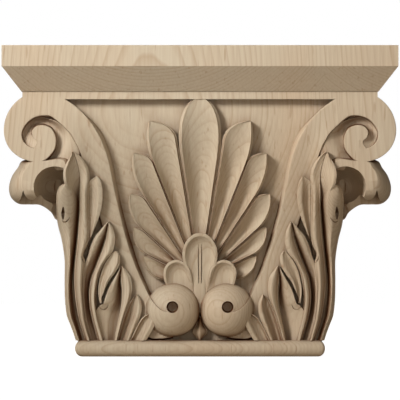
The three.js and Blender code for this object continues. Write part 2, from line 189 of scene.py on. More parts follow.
class MapleFinish(bpy.types.PropertyGroup):
    """Colours and grain of the maple, and the painted shade of its cuts"""

    sapwood: bpy.props.StringProperty(
        name="Sapwood", description="Pale wood between the ring lines, sRGB hex", default="d6c9b2")
    rosy: bpy.props.StringProperty(
        name="Rosy sapwood", description="The pinker cast of some of the sapwood, sRGB hex", default="d6c1a6")
    latewood: bpy.props.StringProperty(
        name="Latewood", description="Darker line at the end of each ring, sRGB hex", default="b08f6e")
    end_grain: bpy.props.StringProperty(
        name="End grain", description="Wood cut across the grain, sRGB hex", default="b3a18b")
    fleck: bpy.props.StringProperty(
        name="Fleck", description="Mineral streaks and ray flecks, sRGB hex", default="9c6b43")
    # Painted shade: the dark brown that the deep cuts and their steep walls are tinted to, as if shaded
    painted_cut_shade: bpy.props.StringProperty(
        name="Painted_shade", description="Wood rubbed brown in the deep cuts, sRGB hex", default="6e4422")
    ring_spacing: bpy.props.FloatProperty(
        name="Ring spacing", description="Distance between growth rings, mm", default=1.4, min=0.2)
    ring_strength: bpy.props.FloatProperty(
        name="Ring strength", description="How clearly the ring lines show", default=0.5, min=0, max=1)
    roughness: bpy.props.FloatProperty(
        name="Roughness", description="Roughness of sanded bare maple", default=0.6, min=0, max=1)


class StageSettings(bpy.types.PropertyGroup):
    """Floor, lights and camera"""

    floor: bpy.props.StringProperty(name="Floor", description="Floor colour, sRGB hex", default="e8e6e3")
    key_power: bpy.props.FloatProperty(
        name="Key", description="Power of the soft light from the upper left, W", default=1.06)
    fill_power: bpy.props.FloatProperty(
        name="Fill", description="Power of the weak light from the front, W", default=0.56)
    ambient: bpy.props.FloatProperty(
        name="Ambient", description="Strength of the light from above and round", default=0.14)
    camera_distance: bpy.props.FloatProperty(
        name="Camera distance", description="Distance of the long lens", default=6, unit="LENGTH")


def smoothstep(x, low, high):
    """From 0 at low to 1 at high, with soft ends."""
    share = np.clip((np.asarray(x, float) - low) / (high - low), 0, 1)
    return share * share * (3 - 2 * share)


def lerp(a, b, share):
    return a + (b - a) * share


def rising(z, low, high):
    """A height that rises smoothly between two places, each given as its z and the height there."""
    return lerp(low[1], high[1], smoothstep(z, low[0], high[0]))


def sizes():
    return bpy.context.scene.capital_sizes


def top_face():
    return sizes().depth - sizes().reach - sizes().set_back


def bevel_foot():
    return sizes().height - sizes().fascia - sizes().bevel


def face_at(u, z):
    """How far the carved face stands from the wall, u from the middle and z up, in millimetres."""
    def flare(height):
        return lerp(sizes().neck, top_face(), smoothstep(height, *FLARE_HEIGHTS))
    corner = smoothstep(np.abs(u), *CORNER_ACROSS) * smoothstep(z, *CORNER_HEIGHTS)
    return lerp(flare(z), flare(np.asarray(z) + CORNER_LEAD), corner)


def leaf_edge_at(z):
    """Half the width over the leaves: drawn in at the foot, flared towards the scrolls."""
    foot = np.maximum(0, FOOT_TOP - np.asarray(z, float)) / FOOT_SPAN
    flare = np.clip(np.asarray(z, float) - EDGE_FLARE_FROM, 0, EDGE_FLARE_SPAN)
    return LEAF_HALF - FOOT_DRAW * foot ** 2 + EDGE_FLARE_RATE * flare ** 2


def on_front(u, z, d):
    """A place on the front: u from the middle, z up, d out from the carved face."""
    return np.stack([u + 0 * z, sizes().depth / 2 - face_at(u, z) - d, z + 0 * u], -1)


def on_side(w, z, d):
    """A place on the right-hand side: w out from the wall, z up, d out from the leaf's edge."""
    return np.stack([leaf_edge_at(z) + d, sizes().depth / 2 - w, z + 0 * w], -1)


def cubic(a, b, v0, v1, w):
    """The way from a to b that leaves at v0 and arrives at v1, at shares w of it."""
    return (2 * a - 2 * b + v0 + v1) * w ** 3 + (3 * b - 3 * a - 2 * v0 - v1) * w ** 2 + v0 * w + a


def spline(points, s):
    """A smooth curve through the points, at shares s from 0 to 1."""
    points = np.asarray(points, float)
    last = len(points) - 1
    place = np.clip(s, 0, 1) * last
    i = np.minimum(place.astype(int), last - 1)
    w = (place - i)[:, None]
    before, start = points[np.maximum(i - 1, 0)], points[i]
    end, after = points[i + 1], points[np.minimum(i + 2, last)]
    return cubic(start, end, (end - before) / 2, (after - start) / 2, w)


def closed_spline(points, count):
    """A smooth closed curve through the points."""
    points = np.asarray(points, float)
    n = len(points)
    place = np.arange(count) / count * n
    i = place.astype(int)
    w = (place - i)[:, None]
    p = [points[(i + k - 1) % n] for k in range(4)]
    return cubic(p[1], p[2], (p[2] - p[0]) / 2, (p[3] - p[1]) / 2, w)


def along(values, s):
    """A value along a strand, from one value, two, or more at even steps from the root to the tip."""
    if len(values) == 1:
        return np.full_like(s, values[0])
    if len(values) == 2:
        return lerp(values[0], values[1], s)
    return spline(np.array(values, float)[:, None], s)[:, 0]


def rail(points):
    """A smooth line through the points, followed at an even pace."""
    points = np.asarray(points, float)
    steps = np.linalg.norm(np.diff(points, axis=0), axis=1)
    reached = np.concatenate([[0], np.cumsum(steps)]) / steps.sum()
    places = np.arange(len(points)) / (len(points) - 1)
    return lambda s: spline(points, np.interp(s, reached, places))


def rounded_profile(places, heights, t):
    """Heights at t through the places, with no overshoot. heights has one row for each station."""
    gap = np.diff(places)
    slope = np.diff(heights, axis=1) / gap
    tangent = np.zeros_like(heights)
    if len(places) > 2:
        a, b = slope[:, :-1], slope[:, 1:]
        same = a * b > 0
        tangent[:, 1:-1] = np.where(same, 2 * a * b / np.where(same, a + b, 1), 0)
    tangent[:, 0] = 1.5 * slope[:, 0] - 0.5 * tangent[:, 1]
    tangent[:, -1] = 1.5 * slope[:, -1] - 0.5 * tangent[:, -2]
    i = np.clip(np.searchsorted(places, t, side="right") - 1, 0, len(places) - 2)
    w = (t - places[i]) / gap[i]
    leaving, arriving = tangent[:, i] * gap[i], tangent[:, i + 1] * gap[i]
    return cubic(heights[:, i], heights[:, i + 1], leaving, arriving, w)


def shape_across(knots, crisp, s, t):
    """Heights for every station s and place t across, crisp at the places named in crisp."""
    places = np.array([knot[0] for knot in knots], float)
    heights = np.stack([along(knot[1:], s) for knot in knots], 1)
    out = np.zeros((len(s), len(t)))
    breaks = [0] + [i for i, place in enumerate(places) if place in crisp] + [len(places) - 1]
    for first, last in zip(breaks[:-1], breaks[1:]):
        if last > first:
            here = (t >= places[first] - 1e-9) & (t <= places[last] + 1e-9)
            out[:, here] = rounded_profile(places[first:last + 1], heights[:, first:last + 1], t[here])
    return out


def groove(name, line, side):
    """A cut along a line of u, z, half its width and level of d, wider at its lip than at its floor."""
    steps_per_point, narrowest, lip_rise = 12, 0.05, 0.6
    line = spline(line, np.linspace(0, 1, steps_per_point * len(line)))
    way = np.gradient(line[:, :2], axis=0)
    across = np.stack([-way[:, 1], way[:, 0]], 1) / np.linalg.norm(way, axis=1)[:, None]
    wide = np.maximum(line[:, 2:3], narrowest)
    edges = [line[:, :2] + across * wide * share for share in (-1, -0.5, 0.5, 1, 1, -1)]
    level = line[:, 3]
    lip = level + np.minimum(lip_rise, 1.2 * wide[:, 0])
    top = np.full_like(level, CUT_TOP)
    levels = (lip, level, level, lip, top, top)
    sections = [on_front(edge[:, 0], edge[:, 1], d) for edge, d in zip(edges, levels)]
    return loft(name, np.stack(sections, 1), side, CUTS)


def put_block(name, points, faces, side=1, collection=BLOCKS):
    """Makes a closed mesh of places in millimetres into an object that waits to be joined or cut away."""
    mesh = bpy.data.meshes.new(name)
    mesh.from_pydata([tuple(p) for p in np.asarray(points, float) * (side * MM, MM, MM)], [], faces)
    tidy = bmesh.new()
    tidy.from_mesh(mesh)
    bmesh.ops.remove_doubles(tidy, verts=tidy.verts, dist=2e-6)
    bmesh.ops.recalc_face_normals(tidy, faces=tidy.faces)
    tidy.to_mesh(mesh)
    tidy.free()
    block = bpy.data.objects.new(name, mesh)
    home = bpy.data.collections.get(collection) or bpy.data.collections.new(collection)
    home.objects.link(block)
    return block


def loft_faces(stations, ring):
    """Faces of a closed loft: quads between the rings, and a face on each end."""
    i, j = np.meshgrid(np.arange(stations - 1), np.arange(ring), indexing="ij")
    after = (j + 1) % ring
    quads = np.stack([i * ring + j, i * ring + after, (i + 1) * ring + after, (i + 1) * ring + j], -1)
    ends = [list(range(ring)), [(stations - 1) * ring + k for k in reversed(range(ring))]]
    return quads.reshape(-1, 4).tolist() + ends


def loft(name, sections, side=1, collection=BLOCKS):
    sections = np.asarray(sections, float)
    return put_block(name, sections.reshape(-1, 3), loft_faces(*sections.shape[:2]), side, collection)


def ring_places(half_width, knots):
    """Places across a strand, closer together at the two edges, which are eased."""
    detail = bpy.context.scene.carving_detail
    inner = np.union1d(np.linspace(-1, 1, detail.across), [knot[0] for knot in knots])
    edge = np.minimum(EDGE_SHARE, EDGE_WIDTH / np.maximum(half_width, 0.1))[:, None]
    left = np.concatenate([-1 + 0 * edge, -1 + 0.35 * edge], 1)
    return inner, np.concatenate([left, inner * (1 - edge), -left[:, ::-1]], 1)


def strand_sections(rails, knots, crisp=(), steps=None, place=on_front, floor=FLOOR,
                    draft=(0.3, 0.3), lift=None):
    """Cross-sections of a strand between two rails, its face first and then its foot below the face.

    knots give the heights across; place bends the strand onto a surface; draft is how far each side
    leans out at its foot; lift changes the heights by where they lie.
    """
    detail = bpy.context.scene.carving_detail
    s = np.linspace(0, 1, (steps or detail.steps) + 1)
    left, right = rails[0](s), rails[1](s)
    half_width = np.linalg.norm(right - left, axis=1) / 2
    inner, t = ring_places(half_width, knots)
    heights = shape_across(knots, crisp, s, inner)
    ease = np.minimum(detail.ease, half_width * 0.3)[:, None]
    heights = np.concatenate([
        heights[:, :1] - ease, heights[:, :1] - 0.25 * ease, heights,
        heights[:, -1:] - 0.25 * ease, heights[:, -1:] - ease], 1)
    spots = left[:, None] + (right - left)[:, None] * ((t + 1) / 2)[..., None]
    if lift:
        heights = lift(spots[..., 0], spots[..., 1], heights)
    top = place(spots[..., 0], spots[..., 1], heights)
    outwards = (right - left) / np.maximum(2 * half_width, 1e-6)[:, None]
    drafts = np.array([d(s) if callable(d) else d + 0 * s for d in draft])
    feet = np.stack([right + outwards * drafts[1][:, None], left - outwards * drafts[0][:, None]], 1)
    return np.concatenate([top, place(feet[..., 0], feet[..., 1], np.full(feet.shape[:2], float(floor)))], 1)


def strand(name, rails, knots, side=1, **options):
    return loft(name, strand_sections(rails, knots, **options), side)


def bowl(name, outline, centre, rim, hollow, layers, side=1):
    """A leaf hollowed towards its middle, with a narrow flat rim.

    layers are shares of the reach from the middle, with how much of the rim's rise is left there.
    """
    outline = np.asarray(outline, float)
    reach = np.linalg.norm(outline - centre, axis=1)[:, None]
    ease = bpy.context.scene.carving_detail.ease
    levels = [
        (1 + 0.3 / reach, FLOOR + 0 * rim), (1 + 0 * reach, rim - ease),
        (1 - 0.15 / reach, rim - 0.25 * ease), (1 - 0.4 / reach, rim)]
    levels += [(share + 0 * reach, lerp(hollow, rim, left)) for share, left in layers]
    rings = []
    for share, d in levels:
        spots = np.array(centre) + (outline - centre) * share
        rings.append(on_front(spots[:, 0], spots[:, 1], d))
    return loft(name, rings, side)


def rails_through(ribs):
    """Both edges of a strand through ribs, each given as the u and z of its two ends."""
    ribs = np.asarray(ribs, float)
    return (lambda s: spline(ribs[:, :2], s)), (lambda s: spline(ribs[:, 2:], s))


def plan_ring(half, front, corner):
    """A plan from the wall round the front, with rounded or square corners."""
    ring = [(half, 0)]
    for angle in np.radians(np.linspace(0, 90, 7) if corner else [0]):
        ring.append((half - corner * (1 - math.cos(angle)), front - corner * (1 - math.sin(angle))))
    return ring + [(-x, w) for x, w in reversed(ring)]


def plan_loft(name, plans, corner):
    """A block through plans of height, half width and front, flat at the wall."""
    back = sizes().depth / 2
    return loft(name, [
        [(x, back - w, z) for x, w in plan_ring(half, front, corner)] for z, half, front in plans])


def depth_loft(name, layers, side=1, collection=BLOCKS):
    """A block through outlines of u and z that lie at given distances from the wall."""
    back = sizes().depth / 2
    return loft(name, [[(u, back - w, z) for u, z in outline] for w, outline in layers], side, collection)


def ball(name, centre, radii, side, collection=BLOCKS, bent=True, segments=48, rings=24):
    """An ellipsoid at u, z and d, bent onto the carved face, or at a distance from the wall instead."""
    made = bmesh.new()
    bmesh.ops.create_uvsphere(made, u_segments=segments, v_segments=rings, radius=1)
    p = np.array([v.co for v in made.verts]) * radii + centre
    faces = [[v.index for v in face.verts] for face in made.faces]
    made.free()
    u, z, out = p.T
    points = on_front(u, z, out) if bent else np.stack([u, sizes().depth / 2 - out, z], -1)
    return put_block(name, points, faces, side, collection)


def round_cut(name, centre, layers, side):
    """A round cut through layers of radius and level of d, bent onto the carved face."""
    sections = []
    turns = np.radians(np.linspace(0, 360, 40, endpoint=False))
    for radius, level in layers:
        u, z = centre[0] + radius * np.cos(turns), centre[1] + radius * np.sin(turns)
        sections.append(on_front(u, z, np.full_like(u, float(level))))
    return loft(name, sections, side, CUTS)


# The flutes of the shell, from the middle outwards: length, angles of the tip and of both edges,
# where each edge starts to close in, and how deep the gouge goes
FLUTES = [
    (108.1, 0, -9, 9, 0.68, 0.68, 6),
    (98.7, 17.4, 9, 22, 0.86, 0.74, 5.2),
    (84.7, 27.3, 21, 33.5, 0.88, 0.7, 4.8),
    (65.7, 38.5, 33, 48.5, 0.86, 0.68, 4.2),
    (50.3, 50.5, 47.5, 64, 0.84, 0.68, 3.6),
    (36.4, 65.5, 63, 88, 0.84, 0.55, 3),
]
SHELL_CENTRE_HEIGHT = 44.1
SHELL_ROOT = 0.2
# How the edges close in on a blunt and on a pointed tip
BLUNT_TIP, POINTED_TIP = 0.5, 0.8
# Where the rim turns and where the gouge is nearly at its depth, as shares of half a flute, and the
# heights of a flute's edge and rim at its root, half way and at its tip
RIM = 0.9
GOUGE = 0.45
FLUTE_EDGE = (-3, -2, -1.6)
FLUTE_RIM = (-2, -0.4, -0.2)


def flute_rails(length, tip, inner, outer, inner_shoulder, outer_shoulder):
    """Both edges of a flute, which run out from the shell's root and close in on its tip."""
    power = BLUNT_TIP if tip == 0 else POINTED_TIP

    def edge(angle, shoulder):
        def line(s):
            reach = lerp(SHELL_ROOT, 1, s)
            past = np.maximum(0, reach - shoulder) / (1 - shoulder)
            share = np.maximum(0.02, (1 - past ** 2) ** power)
            a = np.radians(lerp(tip, angle, share))
            return np.stack([length * reach * np.sin(a), SHELL_CENTRE_HEIGHT + length * reach * np.cos(a)], 1)
        return line
    return edge(outer, outer_shoulder), edge(inner, inner_shoulder)


def carve_shell():
    for row, (length, tip, inner, outer, near, far, scoop) in enumerate(FLUTES):
        flank, middle = (-2.6, FLUTE_RIM[1] - 0.78 * scoop, -0.5), (-3, FLUTE_RIM[1] - scoop, -0.6)
        knots = [
            (-1, *FLUTE_EDGE), (-RIM, *FLUTE_RIM), (-GOUGE, *flank), (0, *middle), (GOUGE, *flank),
            (RIM, *FLUTE_RIM), (1, *FLUTE_EDGE)]
        for side in (1, -1) if row else (1,):
            strand(f"flute_{row}_{side}", flute_rails(length, tip, inner, outer, near, far), knots,
                   crisp=(-RIM, RIM), side=side, steps=60)


# Both edges of the band, from the snail up to the scroll: outer u and z, inner u and z
STEM_RIBS = [
    [15.8, 11.6, 17.6, 26],
    [23, 10.5, 22.4, 27.3],
    [31, 12, 27.6, 32],
    [38, 24, 32.4, 40.9],
    [46, 45, 38.4, 54.6],
    [54.5, 68, 43.1, 68.7],
    [60.5, 88, 46.8, 83.3],
    [65.5, 105, 50.6, 100.2],
    [70.4, 120.3, 54.3, 117.8],
    [73.6, 127.1, 60.5, 132.4],
    [77.1, 132.4, 69.9, 144.3],
]
# The scroll: middle and radius, how much it has closed in by its end and between which angles, in
# degrees from the top; the same for the groove inside it; and the plain bolster behind it
SCROLL_CENTRE = (92.3, 133)
SCROLL_RADIUS, SCROLL_CLOSING, SCROLL_CLOSES = 22.6, 3.6, (100, 180)
SCROLL_ANGLES = np.arange(-25, 181, 20.5)
EYE_CENTRE = (91.5, 128.3)
GROOVE_RADIUS, GROOVE_CLOSING, GROOVE_CLOSES = 13.2, 6.6, (75, 165)
GROOVE_END = 150
BOLSTER_RADIUS = 18.6
BOLSTER_SHARE = 0.98
SCROLL_EYE = [
    (98.6, 131.8), (97, 134.4), (94.4, 135.7), (90.8, 135.7), (87.1, 133.9), (85, 130.3), (84.4, 126.5),
    (85, 122.4), (87.1, 118.9), (90.3, 115.7), (93.5, 114.6), (97.4, 116), (98.8, 119.8), (97.2, 122.4),
    (95.6, 125), (95.8, 127.2), (97.6, 128.6)]
# Both walls of the groove from its start beside the eye round and down to the leaf, and the heights of
# its floor across, at even steps along it
GROOVE_OUTER = [
    (93.4, 122.6), (96.6, 121.9), (99.4, 122.4), (102, 124.4), (103.8, 128.3), (104, 133), (102.3, 136.5),
    (98.8, 139.4), (92.9, 140.7), (87.7, 139.6), (83, 137.6), (77.1, 132.4), (73.6, 127.1), (70.4, 120.3),
    (72, 115.5), (77, 110)]
GROOVE_INNER = [
    (93.4, 127.4), (95.4, 128), (97.2, 129), (98.7, 130.6), (98.6, 132), (97, 134.6), (94.4, 135.9),
    (90.8, 135.9), (86.9, 134.1), (84.7, 130.4), (84.1, 126.5), (84.7, 122.2), (86.9, 118.6), (88.8, 115.6),
    (86.6, 112.6), (84, 109.5)]
GROOVE_FLOOR = [
    (-1, 0.2, -3.4, -4.4, -4.4, -3, -1.4, -1, -1.6),
    (0, 0.2, -3.8, -6.2, -6.4, -6, -4.2, -3.2, -3),
    (1, 0.2, -3.4, -5.4, -5.6, -5.8, -6.3, -6.3, -4.6)]
# The snail: a ball whose middle is sunk in the face, and how far it sinks in one turn
SNAIL_CENTRE = (15.8, 27.5)
SNAIL_RADIUS = 15.8
SNAIL_RISE = 12
SNAIL_SINK = -2
SNAIL_STEP = 1.9
# Its drilled cup, as shares of the radius with their levels, from the floor to the open
DRILL_CENTRE = (16.2, 29.2)
DRILL_RADIUS = 3.4
DRILL_CUP = [(0.35, 4), (0.75, 4.4), (1, 6), (1.06, 22)]
# Its crease: distance from the hole and angle there in degrees, its depth, and the shares of a turn
# over which it sinks, on the snail and on the band
CREASE_REACH = [3.4, 4.2, 6.5, 9.6, 13, 20, 40]
CREASE_ANGLE = [-58, -50, -17, 4, 13, 36, 52]
CREASE_DEPTH = 0.3
SNAIL_CREASE = (0.88, 0.98)
BAND_CREASE = (0.22, 0.3)
# The coil that is laid over the ball: its angles from the crease, where it starts and ends, and how
# far it lies above the ball
COIL_ANGLES = (-25, -359.5)
COIL_ROOT = 1.6
COIL_SHARE = 0.99
COIL_LIFT = 0.02
FLAT_FACE = [(-1, 0), (1, 0)]


def spiral_point(centre, radius, angle):
    """A place round a centre, at an angle in degrees from straight up."""
    a = math.radians(angle)
    return [centre[0] + radius * math.sin(a), centre[1] + radius * math.cos(a)]


def scroll_edge(angle):
    closed = SCROLL_CLOSING * float(smoothstep(angle, *SCROLL_CLOSES))
    return spiral_point(SCROLL_CENTRE, SCROLL_RADIUS - closed, angle)


def groove_edge(angle):
    closed = GROOVE_CLOSING * float(smoothstep(angle, *GROOVE_CLOSES))
    return spiral_point(EYE_CENTRE, GROOVE_RADIUS - closed, angle)


def crease_angle(reach):
    """Where the snail's crease lies, in degrees, at a distance from its hole."""
    return np.interp(reach, CREASE_REACH, CREASE_ANGLE)


def past_crease(u, z):
    """How far a place lies past the snail's crease, in degrees from -180 to 180."""
    u, z = u - DRILL_CENTRE[0], z - DRILL_CENTRE[1]
    return (np.degrees(np.arctan2(z, u)) - crease_angle(np.hypot(u, z)) + 180) % 360 - 180


def snail_turn(u, z):
    """How far round the snail a place lies, from 0 at its crease, down and round to 1."""
    return (-past_crease(u, z) % 360) / 360


def snail_height(u, z):
    """The snail's surface: a ball that sinks a little with each turn."""
    out = np.hypot(u - SNAIL_CENTRE[0], z - SNAIL_CENTRE[1]) / SNAIL_RADIUS
    cap = np.where(out < 1, np.sqrt(np.clip(1 - out ** 2, 0, 1)), 1 - out)
    turn = snail_turn(u, z)
    crease = CREASE_DEPTH * smoothstep(turn, *SNAIL_CREASE)
    return SNAIL_SINK + SNAIL_RISE * cap + SNAIL_STEP * (1 - turn) - crease


def over_snail(u, z, d):
    """The band's face, rolled smoothly up over the snail."""
    soft = 1.3
    early = past_crease(u, z) > 0
    turned = snail_height(u, z) + np.where(early, SNAIL_STEP * snail_turn(u, z), 0)
    rolled = soft * np.log(np.exp(d / soft) + np.exp(turned / soft))
    return rolled - CREASE_DEPTH * smoothstep(snail_turn(u, z) * (1 - early), *BAND_CREASE)


def outline_block(name, outline, levels, side):
    """A block with a smooth outline of u and z, at levels of d and how far it has grown there."""
    count = 120
    shape = closed_spline(outline, count)
    middle = shape.mean(axis=0)
    reach = np.linalg.norm(shape - middle, axis=1).mean()
    sections = []
    for level, growth in levels:
        ring = middle + (shape - middle) * (1 + growth / reach)
        sections.append(on_front(ring[:, 0], ring[:, 1], np.full(count, float(level))))
    return loft(name, sections, side)


def carve_snail(side):
    """The ball, the coil that is laid over it from crease to crease, and the drilled cup."""
    ball(f"snail_{side}", (*SNAIL_CENTRE, SNAIL_SINK), (SNAIL_RADIUS, SNAIL_RADIUS, SNAIL_RISE), side,
         segments=96, rings=48)

    def rim_reach(angle):
        """How far the coil's outer edge lies from the hole."""
        way = np.stack([np.cos(angle), np.sin(angle)], -1)
        off = np.subtract(DRILL_CENTRE, SNAIL_CENTRE)
        ahead = way @ off
        return np.sqrt(ahead ** 2 - off @ off + (COIL_SHARE * SNAIL_RADIUS) ** 2) - ahead

    def coil_place(angle, share, d):
        reach = lerp(COIL_ROOT, rim_reach(np.radians(angle + crease_angle(SNAIL_RADIUS))), share)
        turned = np.radians(angle + crease_angle(reach))
        u, z = DRILL_CENTRE[0] + reach * np.cos(turned), DRILL_CENTRE[1] + reach * np.sin(turned)
        return on_front(u, z, np.where(d > FLOOR, snail_height(u, z) + COIL_LIFT + d, d))

    def spoke(share):
        return lambda s: np.stack([lerp(*COIL_ANGLES, s), np.full_like(s, share)], 1)
    strand(f"coil_{side}", (spoke(0), spoke(1)), FLAT_FACE, side=side, steps=150, draft=(0, 0),
           place=coil_place)
    cup = [(DRILL_RADIUS * share, level) for share, level in DRILL_CUP]
    round_cut(f"drill_{side}", DRILL_CENTRE, cup, side)


def carve_scrolls():
    """The band from under the snail up and round the scroll, the eye, the groove and the bolster."""
    ribs = [list(rib) for rib in STEM_RIBS]
    for angle in SCROLL_ANGLES:
        ribs.append(groove_edge(min(angle, GROOVE_END)) + scroll_edge(angle))
    stem_share = (len(STEM_RIBS) - 1) / (len(ribs) - 1)
    outline = []
    for angle in range(0, 360, 5):
        edge = scroll_edge(angle) if angle <= 180 else spiral_point(SCROLL_CENTRE, BOLSTER_RADIUS, angle)
        outline.append([c + BOLSTER_SHARE * (p - c) for p, c in zip(edge, SCROLL_CENTRE)])
    for side in (1, -1):
        strand(f"band_{side}", rails_through(ribs), FLAT_FACE, side=side, steps=220, floor=-8,
               draft=(1.2, lambda s: 2.9 * (1 - smoothstep(s, stem_share - 0.06, stem_share))),
               lift=over_snail)
        outline_block(f"eye_{side}", SCROLL_EYE, [(-8, 0.9), (-0.3, 0), (0, -0.3)], side)
        strand(f"groove_{side}", (rail(GROOVE_OUTER), rail(GROOVE_INNER)), GROOVE_FLOOR, side=side, steps=90,
               draft=(0.6, 0.6))
        depth_loft(f"bolster_{side}", [(0, outline), (top_face() - sizes().ground, outline)], side)
        carve_snail(side)


# The small leaf in the middle and the small lobe beside it: outline, the hollow's middle, shares of
# the reach with how much of the rim's rise is left there, how deep the hollow goes, and the two
# heights between which the rim rises, with how far it stands out at each
SMALL_LEAF = [(0.0, 72.6), (-3.3, 72.1), (-6.8, 69.5), (-9.4, 65.2), (-10.3, 60.5), (-9.8, 55.2),
            (-7.8, 49.4), (-5.6, 44.1), (-4.3, 39.4), (-4.2, 33.6), (-2.9, 26.6), (2.9, 26.6),
            (4.2, 33.6), (4.3, 39.4), (5.6, 44.1), (7.8, 49.4), (9.8, 55.2), (10.3, 60.5), (9.4, 65.2),
            (6.8, 69.5), (3.3, 72.1)]
SMALL_LEAF_CENTRE = (0, 60)
SMALL_LEAF_LAYERS = [(0.85, 1), (0.8, 0.8), (0.7, 0.42), (0.55, 0.14), (0.35, 0.02), (0.05, 0)]
SMALL_LEAF_HOLLOW = 1.4
SMALL_LEAF_RIM = ((34, 0.6), (62, 4))
SMALL_LOBE = [(13.4, 56.9), (9.1, 55.2), (6.2, 51.7), (4.7, 45.9), (4.1, 38.3), (8.2, 33.6),
            (15.2, 35.4), (19.6, 41.2), (21.4, 47.0), (20.9, 52.0), (17.9, 55.7)]
SMALL_LOBE_CENTRE = (13.2, 47.2)
SMALL_LOBE_LAYERS = [(0.84, 1), (0.77, 0.75), (0.62, 0.36), (0.42, 0.1), (0.22, 0.01), (0.06, 0)]
SMALL_LOBE_HOLLOW = 0.2
SMALL_LOBE_RIM = ((36, 0.4), (50, 3.2))
# One of the two fine lines down the small leaf: u, z, half its width and its level
LEAF_VEIN = [(0.95, 66, 0.1, 1.4), (0.95, 61, 0.28, 0.7), (0.9, 52, 0.28, 0.4), (0.8, 43, 0.2, 0)]
# The tongue between the snails: both edges, from its point up
TONGUE = [[0.5, 9.4, -0.5, 9.4], [4.4, 14.3, -4.4, 14.3], [2.6, 18.5, -2.6, 18.5], [1, 23, -1, 23]]


def carve_small_leaf():
    leaf = closed_spline(SMALL_LEAF, 120)
    bowl("small_leaf", leaf, SMALL_LEAF_CENTRE, rising(leaf[:, 1], *SMALL_LEAF_RIM),
         SMALL_LEAF_HOLLOW, SMALL_LEAF_LAYERS)
    strand("tongue", rails_through(TONGUE), [(-1, -2), (0, 2), (1, -2)], crisp=(0,), steps=24)
    lobe = closed_spline(SMALL_LOBE, 96)
    for side in (1, -1):
        groove(f"vein_{side}", LEAF_VEIN, side)
        bowl(f"small_lobe_{side}", lobe, SMALL_LOBE_CENTRE, rising(lobe[:, 1], *SMALL_LOBE_RIM),
             SMALL_LOBE_HOLLOW, SMALL_LOBE_LAYERS, side)


# The valleys between strands of the leaf, which the strands on both sides share
V_LINE = [
    (67.6, 9.4), (70.1, 17.8), (71.6, 23.1), (73.3, 33.6), (74, 43), (73.6, 54.1), (72, 68.7), (70.7, 85)]
FLUTE_LINE = [
    (59.9, 9.4), (61.4, 14.9), (63.7, 23.1), (65.1, 31.3), (65.2, 38.3), (64, 45.9), (61, 53.7), (58.4, 60.2),
    (56.4, 65.7), (54.9, 71), (53.8, 78.3)]
BASE_LINE = [
    (50.8, 9.4), (48.5, 20.2), (46.6, 28.9), (46, 34.8), (46, 40), (46.5, 44.7), (46.5, 48.8), (46.3, 52.9)]
G_LINE = [(48.8, 9.4), (45.6, 20.7), (43.1, 27.5), (40.8, 32.6), (38.6, 35.4)]
H_LINE = [(41.2, 9.4), (37.8, 16.4), (35.2, 21.2), (33.2, 23.4), (30.4, 25.1), (28.4, 25.6)]

